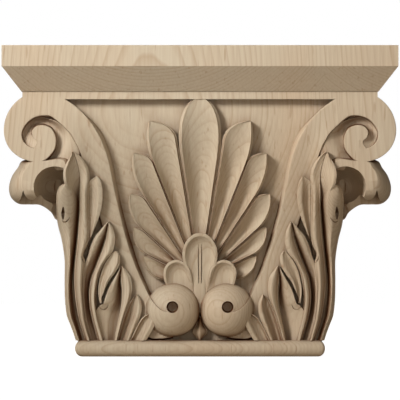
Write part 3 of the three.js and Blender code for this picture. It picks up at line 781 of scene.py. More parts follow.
# Each strand of the leaf: its outer and inner edge from the root to the tip, and heights across
LEAF_STRANDS = {
    "outer_rib": dict(
        left=[
            (73.0, 9.4), (74.8, 14.9), (76.6, 19.6), (78.3, 24.3), (79.3, 33.6), (79.5, 45.3),
            (79.5, 57.0), (81.2, 68.7), (83.0, 75.7), (84.0, 82.1), (84.2, 90.3), (84.0, 95.2),
            (82.6, 99.4), (80.2, 101.4), (78.6, 101.7)],
        right=V_LINE + [(70.6, 93), (72.6, 98.6), (76.6, 101.4)],
        knots=[
            (-1, -4, -4, -4, -3.4, -5, -2.4),
            (-0.75, 0, 0.8, 0.6, 0, -0.6, 1.4),
            (-0.4, 1.8, 2.4, 2.2, 1.4, 1.2, 1.6),
            (0, -0.8, -0.4, 1.4, 2.4, 2.2, 1.6),
            (0.35, -3.2, -3, -1.8, 0.8, 2, 1.6),
            (1, -5.4, -5.6, -5.6, -5.4, -4.8, -3.4)]),
    "tall_rib": dict(
        left=V_LINE + [(70.6, 96), (70.4, 101), (70.3, 105.5), (70.9, 110), (72.4, 115.5), (74, 120.3)],
        right=[(63.7, 9.4), (65.7, 16.1), (67.2, 23.1), (68.1, 33.6), (68.4, 42.4), (67.8, 51.1),
            (67.5, 55.8), (67.9, 59.3), (66.9, 63.4), (65.5, 67.5), (64.9, 73.3), (64.9, 83.3),
            (65.0, 92.0), (64.9, 100.2), (64.5, 104.9), (65.3, 110.2), (67.6, 114.7), (70.4, 118.0),
            (73.7, 120.2)],
        knots=[
            (-1, -0.6, -0.4, 0, 0.2, 0.6, 0.8, 0.9, 3.2),
            (-0.4, 1.8, 2.2, 2.4, 2.6, 2.8, 2.8, 2, 3.4),
            (0.2, 2.6, 3.6, 3.8, 4, 4, 4, 3.2, 3.7),
            (0.6, 1.8, 3, 3.2, 3.4, 3.8, 3.4, 3.8, 4),
            (1, -0.8, 0.2, 0.6, 1.6, 2.6, 1.8, 3.4, 3.8)]),
    "top_lobe": dict(
        left=[
            (73.6, 91), (76.6, 96.2), (79, 100.6), (80, 105.5), (79.8, 109.6), (78.1, 113.7),
            (76.1, 117.2), (74.9, 120.2)],
        right=[
            (70.4, 91), (70.3, 96.2), (70.2, 100.6), (70.1, 105.5), (70.7, 109.6), (71.8, 113.7),
            (73, 117.2), (74.1, 120.4)],
        knots=[
            (-1, -1.5, 2.8, 3.8, 3.6), (-0.8, -1.6, 3.2, 4.2, 4.2), (-0.3, -2.6, 1.4, 2.2, 3.4),
            (0.4, -3.8, -0.6, 1.4, 3), (1, -4.4, -1.2, 1.2, 3)],
        crisp=(-0.8,)),
    "second_lobe": dict(
        left=[
            (67.5, 60.5), (66.6, 64.6), (65.3, 68.1), (65.0, 73.3), (65.0, 83.3), (65.0, 92.0),
            (65.0, 99.1), (64.7, 103.1), (62.5, 104.8), (60.7, 106.1)],
        right=[
            (66.6, 59.3), (65.2, 65.2), (63.4, 70.4), (60.8, 77.4), (58.3, 85.0), (57.1, 92.0),
            (57.1, 97.9), (58.1, 103.1), (60.0, 105.9)],
        knots=[
            (-1, 1.6, 1.8, 1.6, 1.8, 3.8),
            (-0.75, 1.8, 1.8, 1.4, 1.4, 3.8),
            (-0.2, 2.4, 2.6, 2.4, 2.4, 3.8),
            (0.5, 2.8, 3.6, 4.2, 4.4, 4.2),
            (1, 2.4, 3.2, 4, 4.2, 4)]),
    "second_flute": dict(
        left=[
            (65.2, 9.4), (66.9, 16.1), (68.2, 23.1), (69.0, 33.6), (69.2, 42.4), (68.7, 51.1),
            (67.5, 55.2), (65.9, 59.3), (64.3, 64.6), (62.4, 69.3), (60.8, 71.9), (58.4, 74.5),
            (56.1, 77.4), (53.9, 79.4)],
        right=FLUTE_LINE,
        knots=[
            (-1, -1.2, 0, 0.4, 0.2, 2.4, 4),
            (-0.6, -1.4, -0.4, 0, 0.2, 3.3, 4),
            (0, -2.6, -2, -1.8, -1.4, 2.6, 3.4),
            (0.6, -3.6, -3.6, -3.4, -3, -0.6, 2.4),
            (1, -4.6, -5, -5, -4.8, -3, 1.6)]),
    "third_rib": dict(
        left=FLUTE_LINE,
        right=[
            (56.1, 9.4), (58.7, 19.0), (60.2, 26.6), (60.8, 33.6), (60.5, 39.4), (59.6, 45.9),
            (57.6, 52.3), (54.9, 57.0), (51.5, 61.1), (50.0, 66.9), (50.0, 71.0), (51.1, 75.4),
            (53.2, 79.4)],
        knots=[
            (-1, -0.8, 0, 0.4, 1.4, 3),
            (-0.4, 1.2, 2.8, 3.2, 3.8, 4.2),
            (0.3, 1.2, 3.2, 4, 5, 4.4),
            (1, -2.6, -1.4, 1.8, 4.2, 3.8)]),
    "third_lobe": dict(
        left=[
            (59.0, 31.5), (60.0, 38.3), (59.1, 45.3), (57.3, 51.7), (54.3, 57.3), (50.6, 61.7)],
        right=[
            (57.6, 31.5), (56.2, 35.9), (55.2, 40.0), (53.4, 44.4), (50.8, 47.9), (48.0, 52.3),
            (47.0, 56.4), (47.3, 59.9), (48.9, 62.2)],
        knots=[
            (-1, 1.4, 1.9, 2.8, 3.8),
            (-0.55, 1.2, 1.4, 2, 3.6),
            (0.1, 1.6, 2.6, 3.4, 3.8),
            (0.7, 2, 4, 4.8, 4.6),
            (1, 1.2, 3.4, 4, 4)]),
    "base_flute": dict(
        left=[
            (59.0, 9.4), (61.1, 17.2), (61.7, 23.1), (61.1, 27.2), (59.0, 29.8), (56.7, 31.8),
            (55.5, 35.4), (54.1, 39.4), (52.1, 43.2), (50.0, 46.8), (47.8, 50.6), (46.5, 53.3)],
        right=BASE_LINE,
        knots=[
            (-1, -1.6, -0.6, 1.6, 3, 3.6),
            (-0.5, -2.2, -1.6, 0.8, 3.2, 3.4),
            (0.1, -2.8, -2.4, -0.4, 1.8, 3),
            (0.7, -4.6, -4.6, -3.6, -1.4, 2.4),
            (1, -5.4, -5.6, -5.2, -3.6, 2)]),
    "fourth_rib": dict(
        left=BASE_LINE,
        right=[
            (48.2, 9.4), (45.3, 20.7), (42.7, 28.3), (40.9, 33.0), (39.9, 38.9), (40.1, 43.0),
            (40.9, 47.0), (42.9, 50.2), (45.6, 53.5)],
        knots=[
            (-1, -0.6, 0.4, 1, 2.2),
            (-0.4, 1.4, 2.6, 3.4, 3.6),
            (0.4, 1.6, 3.4, 4.6, 4.2),
            (1, -1, 0.8, 3.4, 3.4)]),
    "fifth_lobe": dict(
        left=G_LINE,
        right=[(40.3, 9.4), (37.1, 17.8), (35, 23.4), (34.2, 27.8), (34.5, 32.4), (36.6, 36.7)],
        knots=[
            (-1, -0.4, 0.6, 3),
            (-0.6, -2.8, -2.2, 1.6),
            (0.1, -0.6, 0.6, 2.8),
            (0.65, 1.8, 3.6, 3.8),
            (1, 0, 2.8, 3.2)]),
    "last_lobe": dict(
        left=H_LINE,
        right=[(31.6, 9.4), (29.2, 13.4), (27, 17.6), (26.3, 20.8), (26.4, 23.6), (27.4, 25.4)],
        knots=[
            (-1, 0.8, 2.6, 5),
            (-0.6, -1.2, 0.4, 4),
            (0.1, 0.4, 2.4, 5),
            (0.65, 2.4, 5, 6.4),
            (1, 2, 4.6, 6)]),
}
# The slits between lobes, which start at a drilled eye: u, z, half their width, and their level
LEAF_SLITS = [
    [(80.4, 80.6, 0.3, -1), (80.4, 84.4, 1, -4), (80.2, 88.0, 0.3, -1)],
    [(67.2, 56.7, 0.4, -2), (67.2, 60.2, 1.2, -5), (66.0, 64.3, 0.6, -5), (64.1, 68.7, 0.6, -5),
     (61.8, 72.8, 1, -5), (59.6, 76.4, 1.6, -5), (58.4, 79.8, 0.6, -3)],
    [(57.1, 30.7, 0.3, -3), (57.0, 34.0, 1, -5), (55.8, 38.3, 0.5, -5), (54.1, 42.0, 0.6, -5),
     (52.2, 44.9, 0.8, -5), (50.0, 48.2, 0.45, -4), (47.9, 51.7, 0.3, -2)],
]
# The cut of a small gouge round the foot of each slit, given in the same way
GOUGE_MARKS = [
    [(81.3, 80.7, 0.1, 0.2), (80.3, 79.3, 0.3, 0.1), (78.8, 79.2, 0.35, 0.9), (77.4, 80.4, 0.3, 1.4),
     (76.4, 81.9, 0.1, 1.9)],
    [(69.9, 59.3, 0.1, 3.6), (69.0, 56.6, 0.3, 2.4), (67.3, 55.2, 0.35, 0.6), (65.8, 55.8, 0.3, 0.6),
     (64.9, 57.4, 0.1, 1.4)],
    [(59.7, 30.4, 0.1, 0.9), (58.7, 28.5, 0.3, 0.2), (56.7, 27.6, 0.35, -0.8), (54.9, 28.6, 0.3, -1),
     (53.9, 30.7, 0.1, 0)],
]

# The overturned tip of the leaf: its outline, and layers of distance from the wall and size about the
# place where it meets the scroll
TIP_OUTLINE = [
    (74, 93), (79.5, 84), (84.4, 80.4), (87.8, 85), (93.9, 89), (100, 89.4), (106.7, 89.8), (111.2, 93.6),
    (112.4, 99.5), (110.6, 106), (107.2, 111), (103.8, 115.4), (92, 116.4), (74, 116)]
TIP_CONTACT = (89, 112.5)
TIP_LAYERS = [(6, 0.92), (24, 0.99), (42, 1), (54, 0.985), (62, 0.94), (67.5, 0.86), (71, 0.76), (73, 0.64)]
# What is cut from it: the hollow, the way from there down to the drilled eye, both as middle and radii
# in u, z and the distance from the wall, and the ends of its lobes, between two distances
HOLLOW = ((85.3, 99.6, 71), (12.2, 12.2, 30))
FLOW = ((83.6, 85.2, 76), (10, 12, 26))
LOBE_ENDS = [
    (113, 84), (112, 90.5), (108.5, 90.6), (105.6, 92), (104.3, 95), (103.6, 97.6), (102.8, 95.4),
    (101.2, 93), (98.6, 91.9), (96.6, 92.8), (95.2, 94.6), (91, 94), (86, 88), (90, 82), (102, 80)]
LOBE_CUT = (52, 90)

# The plain ribs down each side, a row from the wall forwards
SIDE_RIBS = {
    "Count": 4, "First": 7.4, "Spacing": 10.4, "Width": 10.2, "Rise": 3.8, "Level": -4.2, "Foot": 9.0,
    "Length": 103.0}
RIB_INPUTS = {name: "NodeSocketFloat" for name in SIDE_RIBS}
RIB_INPUTS.update({"Count": "NodeSocketInt", "Material": "NodeSocketMaterial"})


def carve_leaf_tip(side):
    """The overturned tip of the leaf: a dome, hollowed at the front, its end cut to lobes."""
    outline = closed_spline(TIP_OUTLINE, 90)
    layers = spline(TIP_LAYERS, np.linspace(0, 1, 40))
    middle = np.array(TIP_CONTACT)
    dome = depth_loft(f"leaf_tip_{side}", [(w, middle + (outline - middle) * k) for w, k in layers], side)
    hollow = ball(f"hollow_{side}", *HOLLOW, side, CUTS, bent=False)
    notch = depth_loft(f"notch_{side}", [(w, closed_spline(LOBE_ENDS, 70)) for w in LOBE_CUT], side, CUTS)
    flow = ball(f"flow_{side}", *FLOW, side, CUTS, bent=False)
    for cut in (hollow, notch, flow):
        combine(dome, "DIFFERENCE", cut)
        bpy.data.objects.remove(cut)


def rib_tree():
    """Rounded ribs side by side: a bar scaled to its width and rise, set on a row of points."""
    tree = bpy.data.node_groups.new("side_ribs", "GeometryNodeTree")
    for name, kind in RIB_INPUTS.items():
        tree.interface.new_socket(name=name, in_out="INPUT", socket_type=kind)
    tree.interface.new_socket(name="Geometry", in_out="OUTPUT", socket_type="NodeSocketGeometry")
    given = add(tree, "NodeGroupInput").outputs
    start = add(tree, "ShaderNodeCombineXYZ", None, {0: given["First"]}).outputs[0]
    step = add(tree, "ShaderNodeCombineXYZ", None, {0: given["Spacing"]}).outputs[0]
    places = add(tree, "GeometryNodeMeshLine", None, {
        "Count": given["Count"], "Start Location": start, "Offset": step}).outputs[0]
    bar = add(tree, "GeometryNodeMeshCylinder", None, {
        "Vertices": 28, "Side Segments": 44, "Radius": 1, "Depth": given["Length"]}).outputs[0]
    half = add(tree, "ShaderNodeMath", {"operation": "MULTIPLY"}, {0: given["Width"], 1: 0.5}).outputs[0]
    middle = add(tree, "ShaderNodeMath", {"operation": "MULTIPLY_ADD"}, {
        0: given["Length"], 1: 0.5, 2: given["Foot"]}).outputs[0]
    shape = add(tree, "ShaderNodeCombineXYZ", None, {0: half, 1: given["Rise"], 2: 1}).outputs[0]
    home = add(tree, "ShaderNodeCombineXYZ", None, {1: given["Level"], 2: middle}).outputs[0]
    rib = add(tree, "GeometryNodeTransform", None, {
        "Geometry": bar, "Translation": home, "Scale": shape}).outputs[0]
    row = add(tree, "GeometryNodeInstanceOnPoints", None, {"Points": places, "Instance": rib}).outputs[0]
    real = add(tree, "GeometryNodeRealizeInstances", None, {"Geometry": row}).outputs[0]
    done = add(tree, "GeometryNodeSetMaterial", None, {
        "Geometry": real, "Material": given["Material"]}).outputs[0]
    add(tree, "NodeGroupOutput", None, {"Geometry": done})
    return tree


def row_of_ribs(values):
    """Places and faces of the ribs, as a plain mesh of distance from the wall, level and height."""
    tree = rib_tree()
    block = bpy.data.objects.new("ribs", bpy.data.meshes.new("ribs"))
    bpy.context.scene.collection.objects.link(block)
    step = block.modifiers.new("ribs", "NODES")
    step.node_group = tree
    for item in tree.interface.items_tree:
        if item.in_out == "INPUT":
            step[item.identifier] = values[item.name]
    bpy.context.view_layer.update()
    graph = bpy.context.evaluated_depsgraph_get()
    made = bpy.data.meshes.new_from_object(block.evaluated_get(graph), depsgraph=graph)
    points = np.array([v.co for v in made.vertices])
    faces = [list(face.vertices) for face in made.polygons]
    bpy.data.objects.remove(block)
    bpy.data.meshes.remove(made)
    if not faces:
        raise RuntimeError("the side ribs came out empty")
    return points, faces


def carve_leaves():
    """Every strand of both leaves, the slits and gouge marks, the side ribs and the overturned tips."""
    ribs, faces = row_of_ribs({**SIDE_RIBS, "Material": maple_material()})
    for side in (1, -1):
        for name, each in LEAF_STRANDS.items():
            strand(f"{name}_{side}", (rail(each["left"]), rail(each["right"])), each["knots"],
                   crisp=each.get("crisp", ()), side=side)
        for number, slit in enumerate(LEAF_SLITS + GOUGE_MARKS):
            groove(f"slit_{number}_{side}", slit, side)
        points = on_side(ribs[:, 0], ribs[:, 2], ribs[:, 1])
        put_block(f"side_ribs_{side}", points, faces, side)
        carve_leaf_tip(side)


def carve_mouldings():
    """The fascia with its bevel, the frieze, the flared bell and the bead."""
    own = sizes()
    half, front = own.width / 2, own.depth
    plan_loft("moulded_top", [
        (bevel_foot(), half - own.reach, front - own.reach), (own.height - own.fascia, half, front),
        (own.height, half, front)], 0)
    frieze_half = half - own.reach - own.set_back
    plan_loft("frieze", [
        (bevel_foot() - own.frieze, frieze_half, top_face()), (bevel_foot() + 1, frieze_half, top_face())], 0)
    bell = []
    for z in np.union1d(np.linspace(0, bevel_foot(), 90), [BOLSTER_FOOT, BOLSTER_FOOT + 0.5]):
        wide = min(float(leaf_edge_at(z)) - LEAF_COVER, BELL_HALF)
        if z > BOLSTER_FOOT:
            wide = SCROLL_CENTRE[0]
        bell.append((z, wide, float(face_at(0, z)) - own.ground))
    plan_loft("bell", bell, BELL_CORNER)
    bead = []
    for angle in np.radians(np.linspace(-90, 90, 25)):
        swell = own.bead_swell * (math.cos(angle) - 1)
        bead.append((own.bead / 2 * (1 + math.sin(angle)), own.bead_half + swell,
                     own.neck + own.bead_swell + swell))
    plan_loft("bead", bead, 2)


def combine(block, operation, other):
    """Joins a block with another object or with all of a collection, or cuts that away from it."""
    step = block.modifiers.new(operation.lower(), "BOOLEAN")
    step.operation = operation
    step.solver = "MANIFOLD"
    if isinstance(other, bpy.types.Collection):
        step.operand_type = "COLLECTION"
        step.collection = other
    else:
        step.object = other
    seen = [c for c in (bpy.data.collections.get(n) for n in (BLOCKS, CUTS)) if c]
    for collection in seen:
        if collection.name not in bpy.context.scene.collection.children:
            bpy.context.scene.collection.children.link(collection)
    bpy.context.view_layer.update()
    graph = bpy.context.evaluated_depsgraph_get()
    made = bpy.data.meshes.new_from_object(block.evaluated_get(graph), depsgraph=graph)
    block.modifiers.clear()
    block.data = made
    if not made.polygons:
        raise RuntimeError(f"{block.name} came out empty after {operation}")


def srgb(code):
    """A hex colour turned to linear values."""
    values = [int(code[i:i + 2], 16) / 255 for i in (0, 2, 4)]
    return [v / 12.92 if v <= 0.04045 else ((v + 0.055) / 1.055) ** 2.4 for v in values] + [1]


def add(tree, kind, settings=None, inputs=None):
    """Adds a node with its settings, and its input values or links."""
    node = tree.nodes.new(kind)
    for key, value in (settings or {}).items():
        setattr(node, key, value)
    for socket, value in (inputs or {}).items():
        if isinstance(value, bpy.types.NodeSocket):
            tree.links.new(value, node.inputs[socket])
        else:
            node.inputs[socket].default_value = value
    return node


# The grain, in millimetres: how long the rings' waver is, how far it reaches and how much longer it is
# along the wood, then the size of the rosy patches, the width of the fine fibres and of the flecks with
# how strongly they show, and how strongly the end grain does
WAVER_LENGTH, WAVER_REACH, WAVER_STRETCH = 26.3, 1.4, 0.16
PATCH_LENGTH = 62.5
FIBRE_WIDTH, FIBRE_STRENGTH = 1.111, 0.22
FLECK_WIDTH, FLECK_STRENGTH = 1.923, 0.3
END_GRAIN_STRENGTH = 0.75
# How far the painted shade of a cut looks round it
PAINTED_SHADE_REACH = 7
# A ring's line across its width: places with how dark it is there
RING_LINE = ((0.5, 0.08), (0.8, 0.75), (0.88, 1), (0.94, 0.6))


def ring_lines(tree, place, look):
    """The lines of growth rings round the pith of each board, which run through the whole wood."""
    split = add(tree, "ShaderNodeSeparateXYZ", None, {0: place})
    second_board = add(tree, "ShaderNodeMath", {"operation": "GREATER_THAN"}, {
        0: split.outputs[0], 1: GLUE_LINE})
    spots = [add(tree, "ShaderNodeMapping", {"vector_type": "POINT"}, {
        "Vector": place, "Location": pith, "Rotation": lean}) for pith, lean in BOARDS]
    own = add(tree, "ShaderNodeMix", {"data_type": "VECTOR"}, {
        0: second_board.outputs[0], 4: spots[0].outputs[0], 5: spots[1].outputs[0]})
    flat = add(tree, "ShaderNodeVectorMath", {"operation": "MULTIPLY"}, {0: own.outputs[1], 1: (1, 1, 0)})
    reach = add(tree, "ShaderNodeVectorMath", {"operation": "LENGTH"}, {0: flat.outputs[0]})
    stretched = add(tree, "ShaderNodeVectorMath", {"operation": "MULTIPLY"}, {
        0: own.outputs[1], 1: (1, 1, WAVER_STRETCH)})
    waver = add(tree, "ShaderNodeTexNoise", None, {
        "Vector": stretched.outputs[0], "Scale": 1 / (WAVER_LENGTH * MM), "Detail": 3})
    wandering = add(tree, "ShaderNodeMath", {"operation": "MULTIPLY_ADD"}, {
        0: waver.outputs[0], 1: WAVER_REACH * MM, 2: reach.outputs[1]})
    rings = add(tree, "ShaderNodeMath", {"operation": "DIVIDE"}, {
        0: wandering.outputs[0], 1: look.ring_spacing * MM})
    share = add(tree, "ShaderNodeMath", {"operation": "FRACT"}, {0: rings.outputs[0]})
    number = add(tree, "ShaderNodeMath", {"operation": "FLOOR"}, {0: rings.outputs[0]})
    each = add(tree, "ShaderNodeTexWhiteNoise", {"noise_dimensions": "1D"}, {"W": number.outputs[0]})
    line = add(tree, "ShaderNodeValToRGB", None, {0: share.outputs[0]})
    stops = line.color_ramp.elements
    stops[0].position, stops[0].color = 0, (0, 0, 0, 1)
    stops[1].position, stops[1].color = 1, (0, 0, 0, 1)
    for spot, level in RING_LINE:
        stops.new(spot).color = (level, level, level, 1)
    strength = add(tree, "ShaderNodeMapRange", None, {
        0: each.outputs[0], 3: 0.25 * look.ring_strength, 4: look.ring_strength})
    return add(tree, "ShaderNodeMath", {"operation": "MULTIPLY"}, {
        0: line.outputs[0], 1: strength.outputs[0]}).outputs[0]


def maple_material():
    """Hard maple, carved and sanded but not finished.

    Bare sanded maple is pale and matt, with close ring lines that turn to arcs where the carving cuts
    across them, fine fibres along its height, and a greyer look where the cut meets the end grain.
    Painted shade darkens and browns the deep cuts, most of all their steep walls, where little light reaches.
    """
    look = bpy.context.scene.maple_finish
    made = bpy.data.materials.get(MAPLE)
    if made:
        return made
    material = bpy.data.materials.new(MAPLE)
    material.use_nodes = True
    tree = material.node_tree
    tree.nodes.clear()
    place = add(tree, "ShaderNodeTexCoord").outputs["Object"]
    rings = ring_lines(tree, place, look)

    def fibre(size, stretch, detail, low, high):
        """Noise of a size in millimetres drawn out along the grain, as a share between two levels."""
        along_grain = add(tree, "ShaderNodeVectorMath", {"operation": "MULTIPLY"}, {
            0: place, 1: (1, 1, stretch)})
        noise = add(tree, "ShaderNodeTexNoise", None, {
            "Vector": along_grain.outputs[0], "Scale": 1 / (size * MM), "Detail": detail})
        return add(tree, "ShaderNodeMapRange", None, {0: noise.outputs[0], 1: low, 2: high}).outputs[0]

    def tinted(colour, pattern, strength, tint):
        """The colour, with a tint over it where the pattern asks, as far as the strength lets it."""
        share = add(tree, "ShaderNodeMath", {"operation": "MULTIPLY"}, {0: pattern, 1: strength})
        return add(tree, "ShaderNodeMix", {"data_type": "RGBA"}, {
            0: share.outputs[0], 6: colour, 7: srgb(tint)}).outputs[2]

    patches = fibre(PATCH_LENGTH, 0.3, 3, 0.35, 0.68)
    fine = fibre(FIBRE_WIDTH, 0.03, 2, 0.35, 0.7)
    flecks = fibre(FLECK_WIDTH, 0.1, 1, 0.66, 0.74)
    normal = add(tree, "ShaderNodeNewGeometry").outputs["Normal"]
    way = add(tree, "ShaderNodeSeparateXYZ", None, {0: normal})
    facing_front, facing_up = [add(tree, "ShaderNodeMath", {"operation": "MULTIPLY"}, {
        0: part, 1: part}).outputs[0] for part in way.outputs[1:3]]
    # Painted shade: ambient occlusion darkens the cuts, and steep walls that turn away from the front take
    # the most of it
    closeness = add(tree, "ShaderNodeAmbientOcclusion", {"samples": 12, "only_local": True}, {
        "Distance": PAINTED_SHADE_REACH * MM}).outputs["AO"]
    depth = add(tree, "ShaderNodeMapRange", None, {0: closeness, 1: 0.3, 2: 0.97, 3: 1, 4: 0}).outputs[0]
    steep_wall_shade = add(tree, "ShaderNodeMapRange", None, {
        0: facing_front, 1: 0.1, 2: 0.7, 3: 1, 4: 0.36}).outputs[0]
    colour = tinted(srgb(look.sapwood), patches, 1, look.rosy)
    colour = tinted(colour, rings, 1, look.latewood)
    colour = tinted(colour, fine, FIBRE_STRENGTH, look.latewood)
    colour = tinted(colour, flecks, FLECK_STRENGTH, look.fleck)
    colour = tinted(colour, facing_up, END_GRAIN_STRENGTH, look.end_grain)
    # Painted shade in the cuts and on their steep walls
    colour = tinted(colour, depth, steep_wall_shade, look.painted_cut_shade)
    height = add(tree, "ShaderNodeMath", {"operation": "MULTIPLY_ADD"}, {
        0: rings, 1: 0.5, 2: fine}).outputs[0]
    bump = add(tree, "ShaderNodeBump", None, {"Height": height, "Strength": 0.12, "Distance": 0.08 * MM})
    shader = add(tree, "ShaderNodeBsdfPrincipled", None, {
        "Base Color": colour, "Roughness": look.roughness, "IOR": 1.45, "Specular IOR Level": 0.3,
        "Normal": bump.outputs[0]})
    add(tree, "ShaderNodeOutputMaterial", None, {"Surface": shader.outputs[0]})
    return material


class CAPITAL_OT_mouldings(bpy.types.Operator):
    """Cut the bell, the moulded top, the frieze and the bead"""
    bl_idname = "capital.mouldings"
    bl_label = "Mouldings"

    def execute(self, context):
        carve_mouldings()
        return {"FINISHED"}


class CAPITAL_OT_shell(bpy.types.Operator):
    """Carve the fluted shell and the small leaf over it"""
    bl_idname = "capital.shell"
    bl_label = "Shell"

    def execute(self, context):
        carve_shell()
        carve_small_leaf()
        return {"FINISHED"}


class CAPITAL_OT_scrolls(bpy.types.Operator):
    """Carve both scrolls and the snails they end in"""
    bl_idname = "capital.scrolls"
    bl_label = "Scrolls"

    def execute(self, context):
        carve_scrolls()
        return {"FINISHED"}


class CAPITAL_OT_leaves(bpy.types.Operator):
    """Carve both acanthus leaves with their overturned tips"""
    bl_idname = "capital.leaves"
    bl_label = "Leaves"

    def execute(self, context):
        carve_leaves()
        return {"FINISHED"}


class CAPITAL_OT_join(bpy.types.Operator):
    """Join all that is carved into one piece and give it its wood"""
    bl_idname = "capital.join"
    bl_label = "Join and finish"

    def execute(self, context):
        blocks = bpy.data.collections[BLOCKS]
        piece = blocks.objects["bell"]
        piece.name = PIECE
        blocks.objects.unlink(piece)
        context.scene.collection.objects.link(piece)
        combine(piece, "UNION", blocks)
        combine(piece, "DIFFERENCE", bpy.data.collections[CUTS])
        for name in (BLOCKS, CUTS):
            for block in list(bpy.data.collections[name].objects):
                bpy.data.objects.remove(block)
            bpy.data.collections.remove(bpy.data.collections[name])
        piece.data.materials.clear()
        piece.data.materials.append(maple_material())
        tidy = bmesh.new()
        tidy.from_mesh(piece.data)
        bmesh.ops.triangulate(tidy, faces=[f for f in tidy.faces if len(f.verts) > 4])
        bmesh.ops.remove_doubles(tidy, verts=tidy.verts, dist=1e-6)
        tidy.to_mesh(piece.data)
        tidy.free()
        for polygon in piece.data.polygons:
            polygon.material_index = 0
        piece.data.shade_smooth()
        piece.data.set_sharp_from_angle(angle=math.radians(CRISP_ANGLE))
        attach(piece, "root")
        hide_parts("capital")
        return {"FINISHED"}


class CAPITAL_OT_stage(bpy.types.Operator):
    """Set the pale floor, the soft lights and the camera"""
    bl_idname = "capital.stage"
    bl_label = "Stage"

    def execute(self, context):
        set_stage(context.scene)
        return {"FINISHED"}


def soft_light(name, place, target, size, spread, power, colour):
    """A round soft box at a place, aimed at a target."""
    data = bpy.data.lights.new(name, "AREA")
    data.shape = "DISK"
    data.size = size
    data.spread = math.radians(spread)
    data.energy = power
    data.color = colour
    light = bpy.data.objects.new(name, data)
    light.location = place
    light.rotation_euler = (Vector(target) - Vector(place)).to_track_quat("-Z", "Y").to_euler()
    bpy.context.scene.collection.objects.link(light)


def add_floor(scene):
    """A plain pale floor, which the camera sees as white paper."""
    level = CAD_LOW.z - FLOOR_GAP
    corners = [(x * FLOOR_REACH, y * FLOOR_REACH, level) for x, y in ((-1, -1), (1, -1), (1, 1), (-1, 1))]
    mesh = bpy.data.meshes.new("floor")
    mesh.from_pydata(corners, [], [(0, 1, 2, 3)])
    floor = bpy.data.objects.new("floor", mesh)
    scene.collection.objects.link(floor)
    paper = bpy.data.materials.new("white_paper_sweep")
    paper.use_nodes = True
    tree = paper.node_tree
    tree.nodes.clear()
    matt = add(tree, "ShaderNodeBsdfDiffuse", None, {"Color": srgb(scene.stage_settings.floor)})
    glow = add(tree, "ShaderNodeEmission", None, {"Strength": PAPER_GLOW})
    seen = add(tree, "ShaderNodeAddShader", None, {0: matt.outputs[0], 1: glow.outputs[0]})
    dull = add(tree, "ShaderNodeBsdfDiffuse", None, {"Color": srgb(FLOOR_IN_SHADE)})
    path = add(tree, "ShaderNodeLightPath")
    either = add(tree, "ShaderNodeMixShader", None, {
        0: path.outputs["Is Camera Ray"], 1: dull.outputs[0], 2: seen.outputs[0]})
    add(tree, "ShaderNodeOutputMaterial", None, {"Surface": either.outputs[0]})
    mesh.materials.append(paper)


def add_surroundings(scene):
    """Even light from all round, which the camera sees as white."""
    world = bpy.data.worlds.new("studio")
    scene.world = world
    world.use_nodes = True
    tree = world.node_tree
    tree.nodes.clear()
    way = add(tree, "ShaderNodeTexCoord").outputs["Generated"]
    upward = add(tree, "ShaderNodeSeparateXYZ", None, {0: way}).outputs[2]
    ambient = scene.stage_settings.ambient
    level = add(tree, "ShaderNodeMapRange", None, {
        0: upward, 1: LOW_SKY[0], 2: HIGH_SKY[0], 3: LOW_SKY[1] * ambient, 4: HIGH_SKY[1] * ambient})
    lit = add(tree, "ShaderNodeBackground", None, {"Color": AMBIENT_TINT, "Strength": level.outputs[0]})
    seen = add(tree, "ShaderNodeBackground", None, {"Color": (1, 1, 1, 1), "Strength": 1.0})
    path = add(tree, "ShaderNodeLightPath")
    either = add(tree, "ShaderNodeMixShader", None, {
        0: path.outputs["Is Camera Ray"], 1: lit.outputs[0], 2: seen.outputs[0]})
    add(tree, "ShaderNodeOutputWorld", None, {"Surface": either.outputs[0]})


def set_stage(scene):
    add_floor(scene)
    add_surroundings(scene)
    soft_light("key", *KEY_LIGHT, scene.stage_settings.key_power, KEY_TINT)
    soft_light("fill", *FILL_LIGHT, scene.stage_settings.fill_power, FILL_TINT)
    scene.view_settings.view_transform = "Standard"
    add_camera(scene)


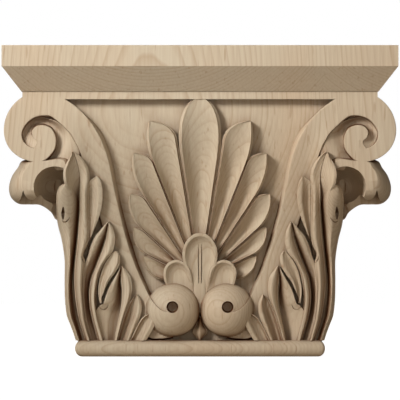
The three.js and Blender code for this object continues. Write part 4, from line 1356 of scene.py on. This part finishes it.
def add_camera(scene):
    """A long lens, level with the image's middle row, framed as the photograph is."""
    data = bpy.data.cameras.new("camera")
    camera = bpy.data.objects.new("camera", data)
    scene.collection.objects.link(camera)
    scene.camera = camera
    distance = scene.stage_settings.camera_distance
    millimetres_per_pixel = scene.capital_sizes.width / PIECE_PIXELS
    frame_width = millimetres_per_pixel * IMAGE_PIXELS * MM
    data.sensor_width = SENSOR_WIDTH
    data.lens = data.sensor_width * distance / frame_width
    height = (FOOT_ROW - IMAGE_PIXELS / 2) * millimetres_per_pixel * MM
    camera.location = (0, CAD_LOW.y - distance, height)
    camera.rotation_euler = (math.pi / 2, 0, 0)
    data.clip_end = distance * 4


class CAPITAL_PT_panel(bpy.types.Panel):
    """Sizes, colours and steps of the capital"""
    bl_idname = "CAPITAL_PT_panel"
    bl_label = "Pilaster Capital"
    bl_space_type = "VIEW_3D"
    bl_region_type = "UI"
    bl_category = "Capital"

    def draw(self, context):
        for group in (context.scene.capital_sizes, context.scene.carving_detail,
                      context.scene.maple_finish, context.scene.stage_settings):
            box = self.layout.box()
            for name in group.bl_rna.properties.keys():
                if name not in {"rna_type", "name"}:
                    box.prop(group, name)
        for step in STEPS:
            self.layout.operator(step.bl_idname)


GROUPS = {
    "capital_sizes": CapitalSizes,
    "carving_detail": CarvingDetail,
    "maple_finish": MapleFinish,
    "stage_settings": StageSettings,
}
STEPS = (
    CAPITAL_OT_mouldings, CAPITAL_OT_shell, CAPITAL_OT_scrolls, CAPITAL_OT_leaves, CAPITAL_OT_join,
    CAPITAL_OT_stage)


def register():
    for kind in (*GROUPS.values(), *STEPS, CAPITAL_PT_panel):
        bpy.utils.register_class(kind)
    for name, kind in GROUPS.items():
        setattr(bpy.types.Scene, name, bpy.props.PointerProperty(type=kind))


def unregister():
    for name in GROUPS:
        delattr(bpy.types.Scene, name)
    for kind in (CAPITAL_PT_panel, *reversed(STEPS), *reversed(GROUPS.values())):
        bpy.utils.unregister_class(kind)


def main():
    register()
    bpy.ops.capital.mouldings()
    bpy.ops.capital.shell()
    bpy.ops.capital.scrolls()
    bpy.ops.capital.leaves()
    bpy.ops.capital.join()
    bpy.ops.capital.stage()


if __name__ == "__main__":
    main()
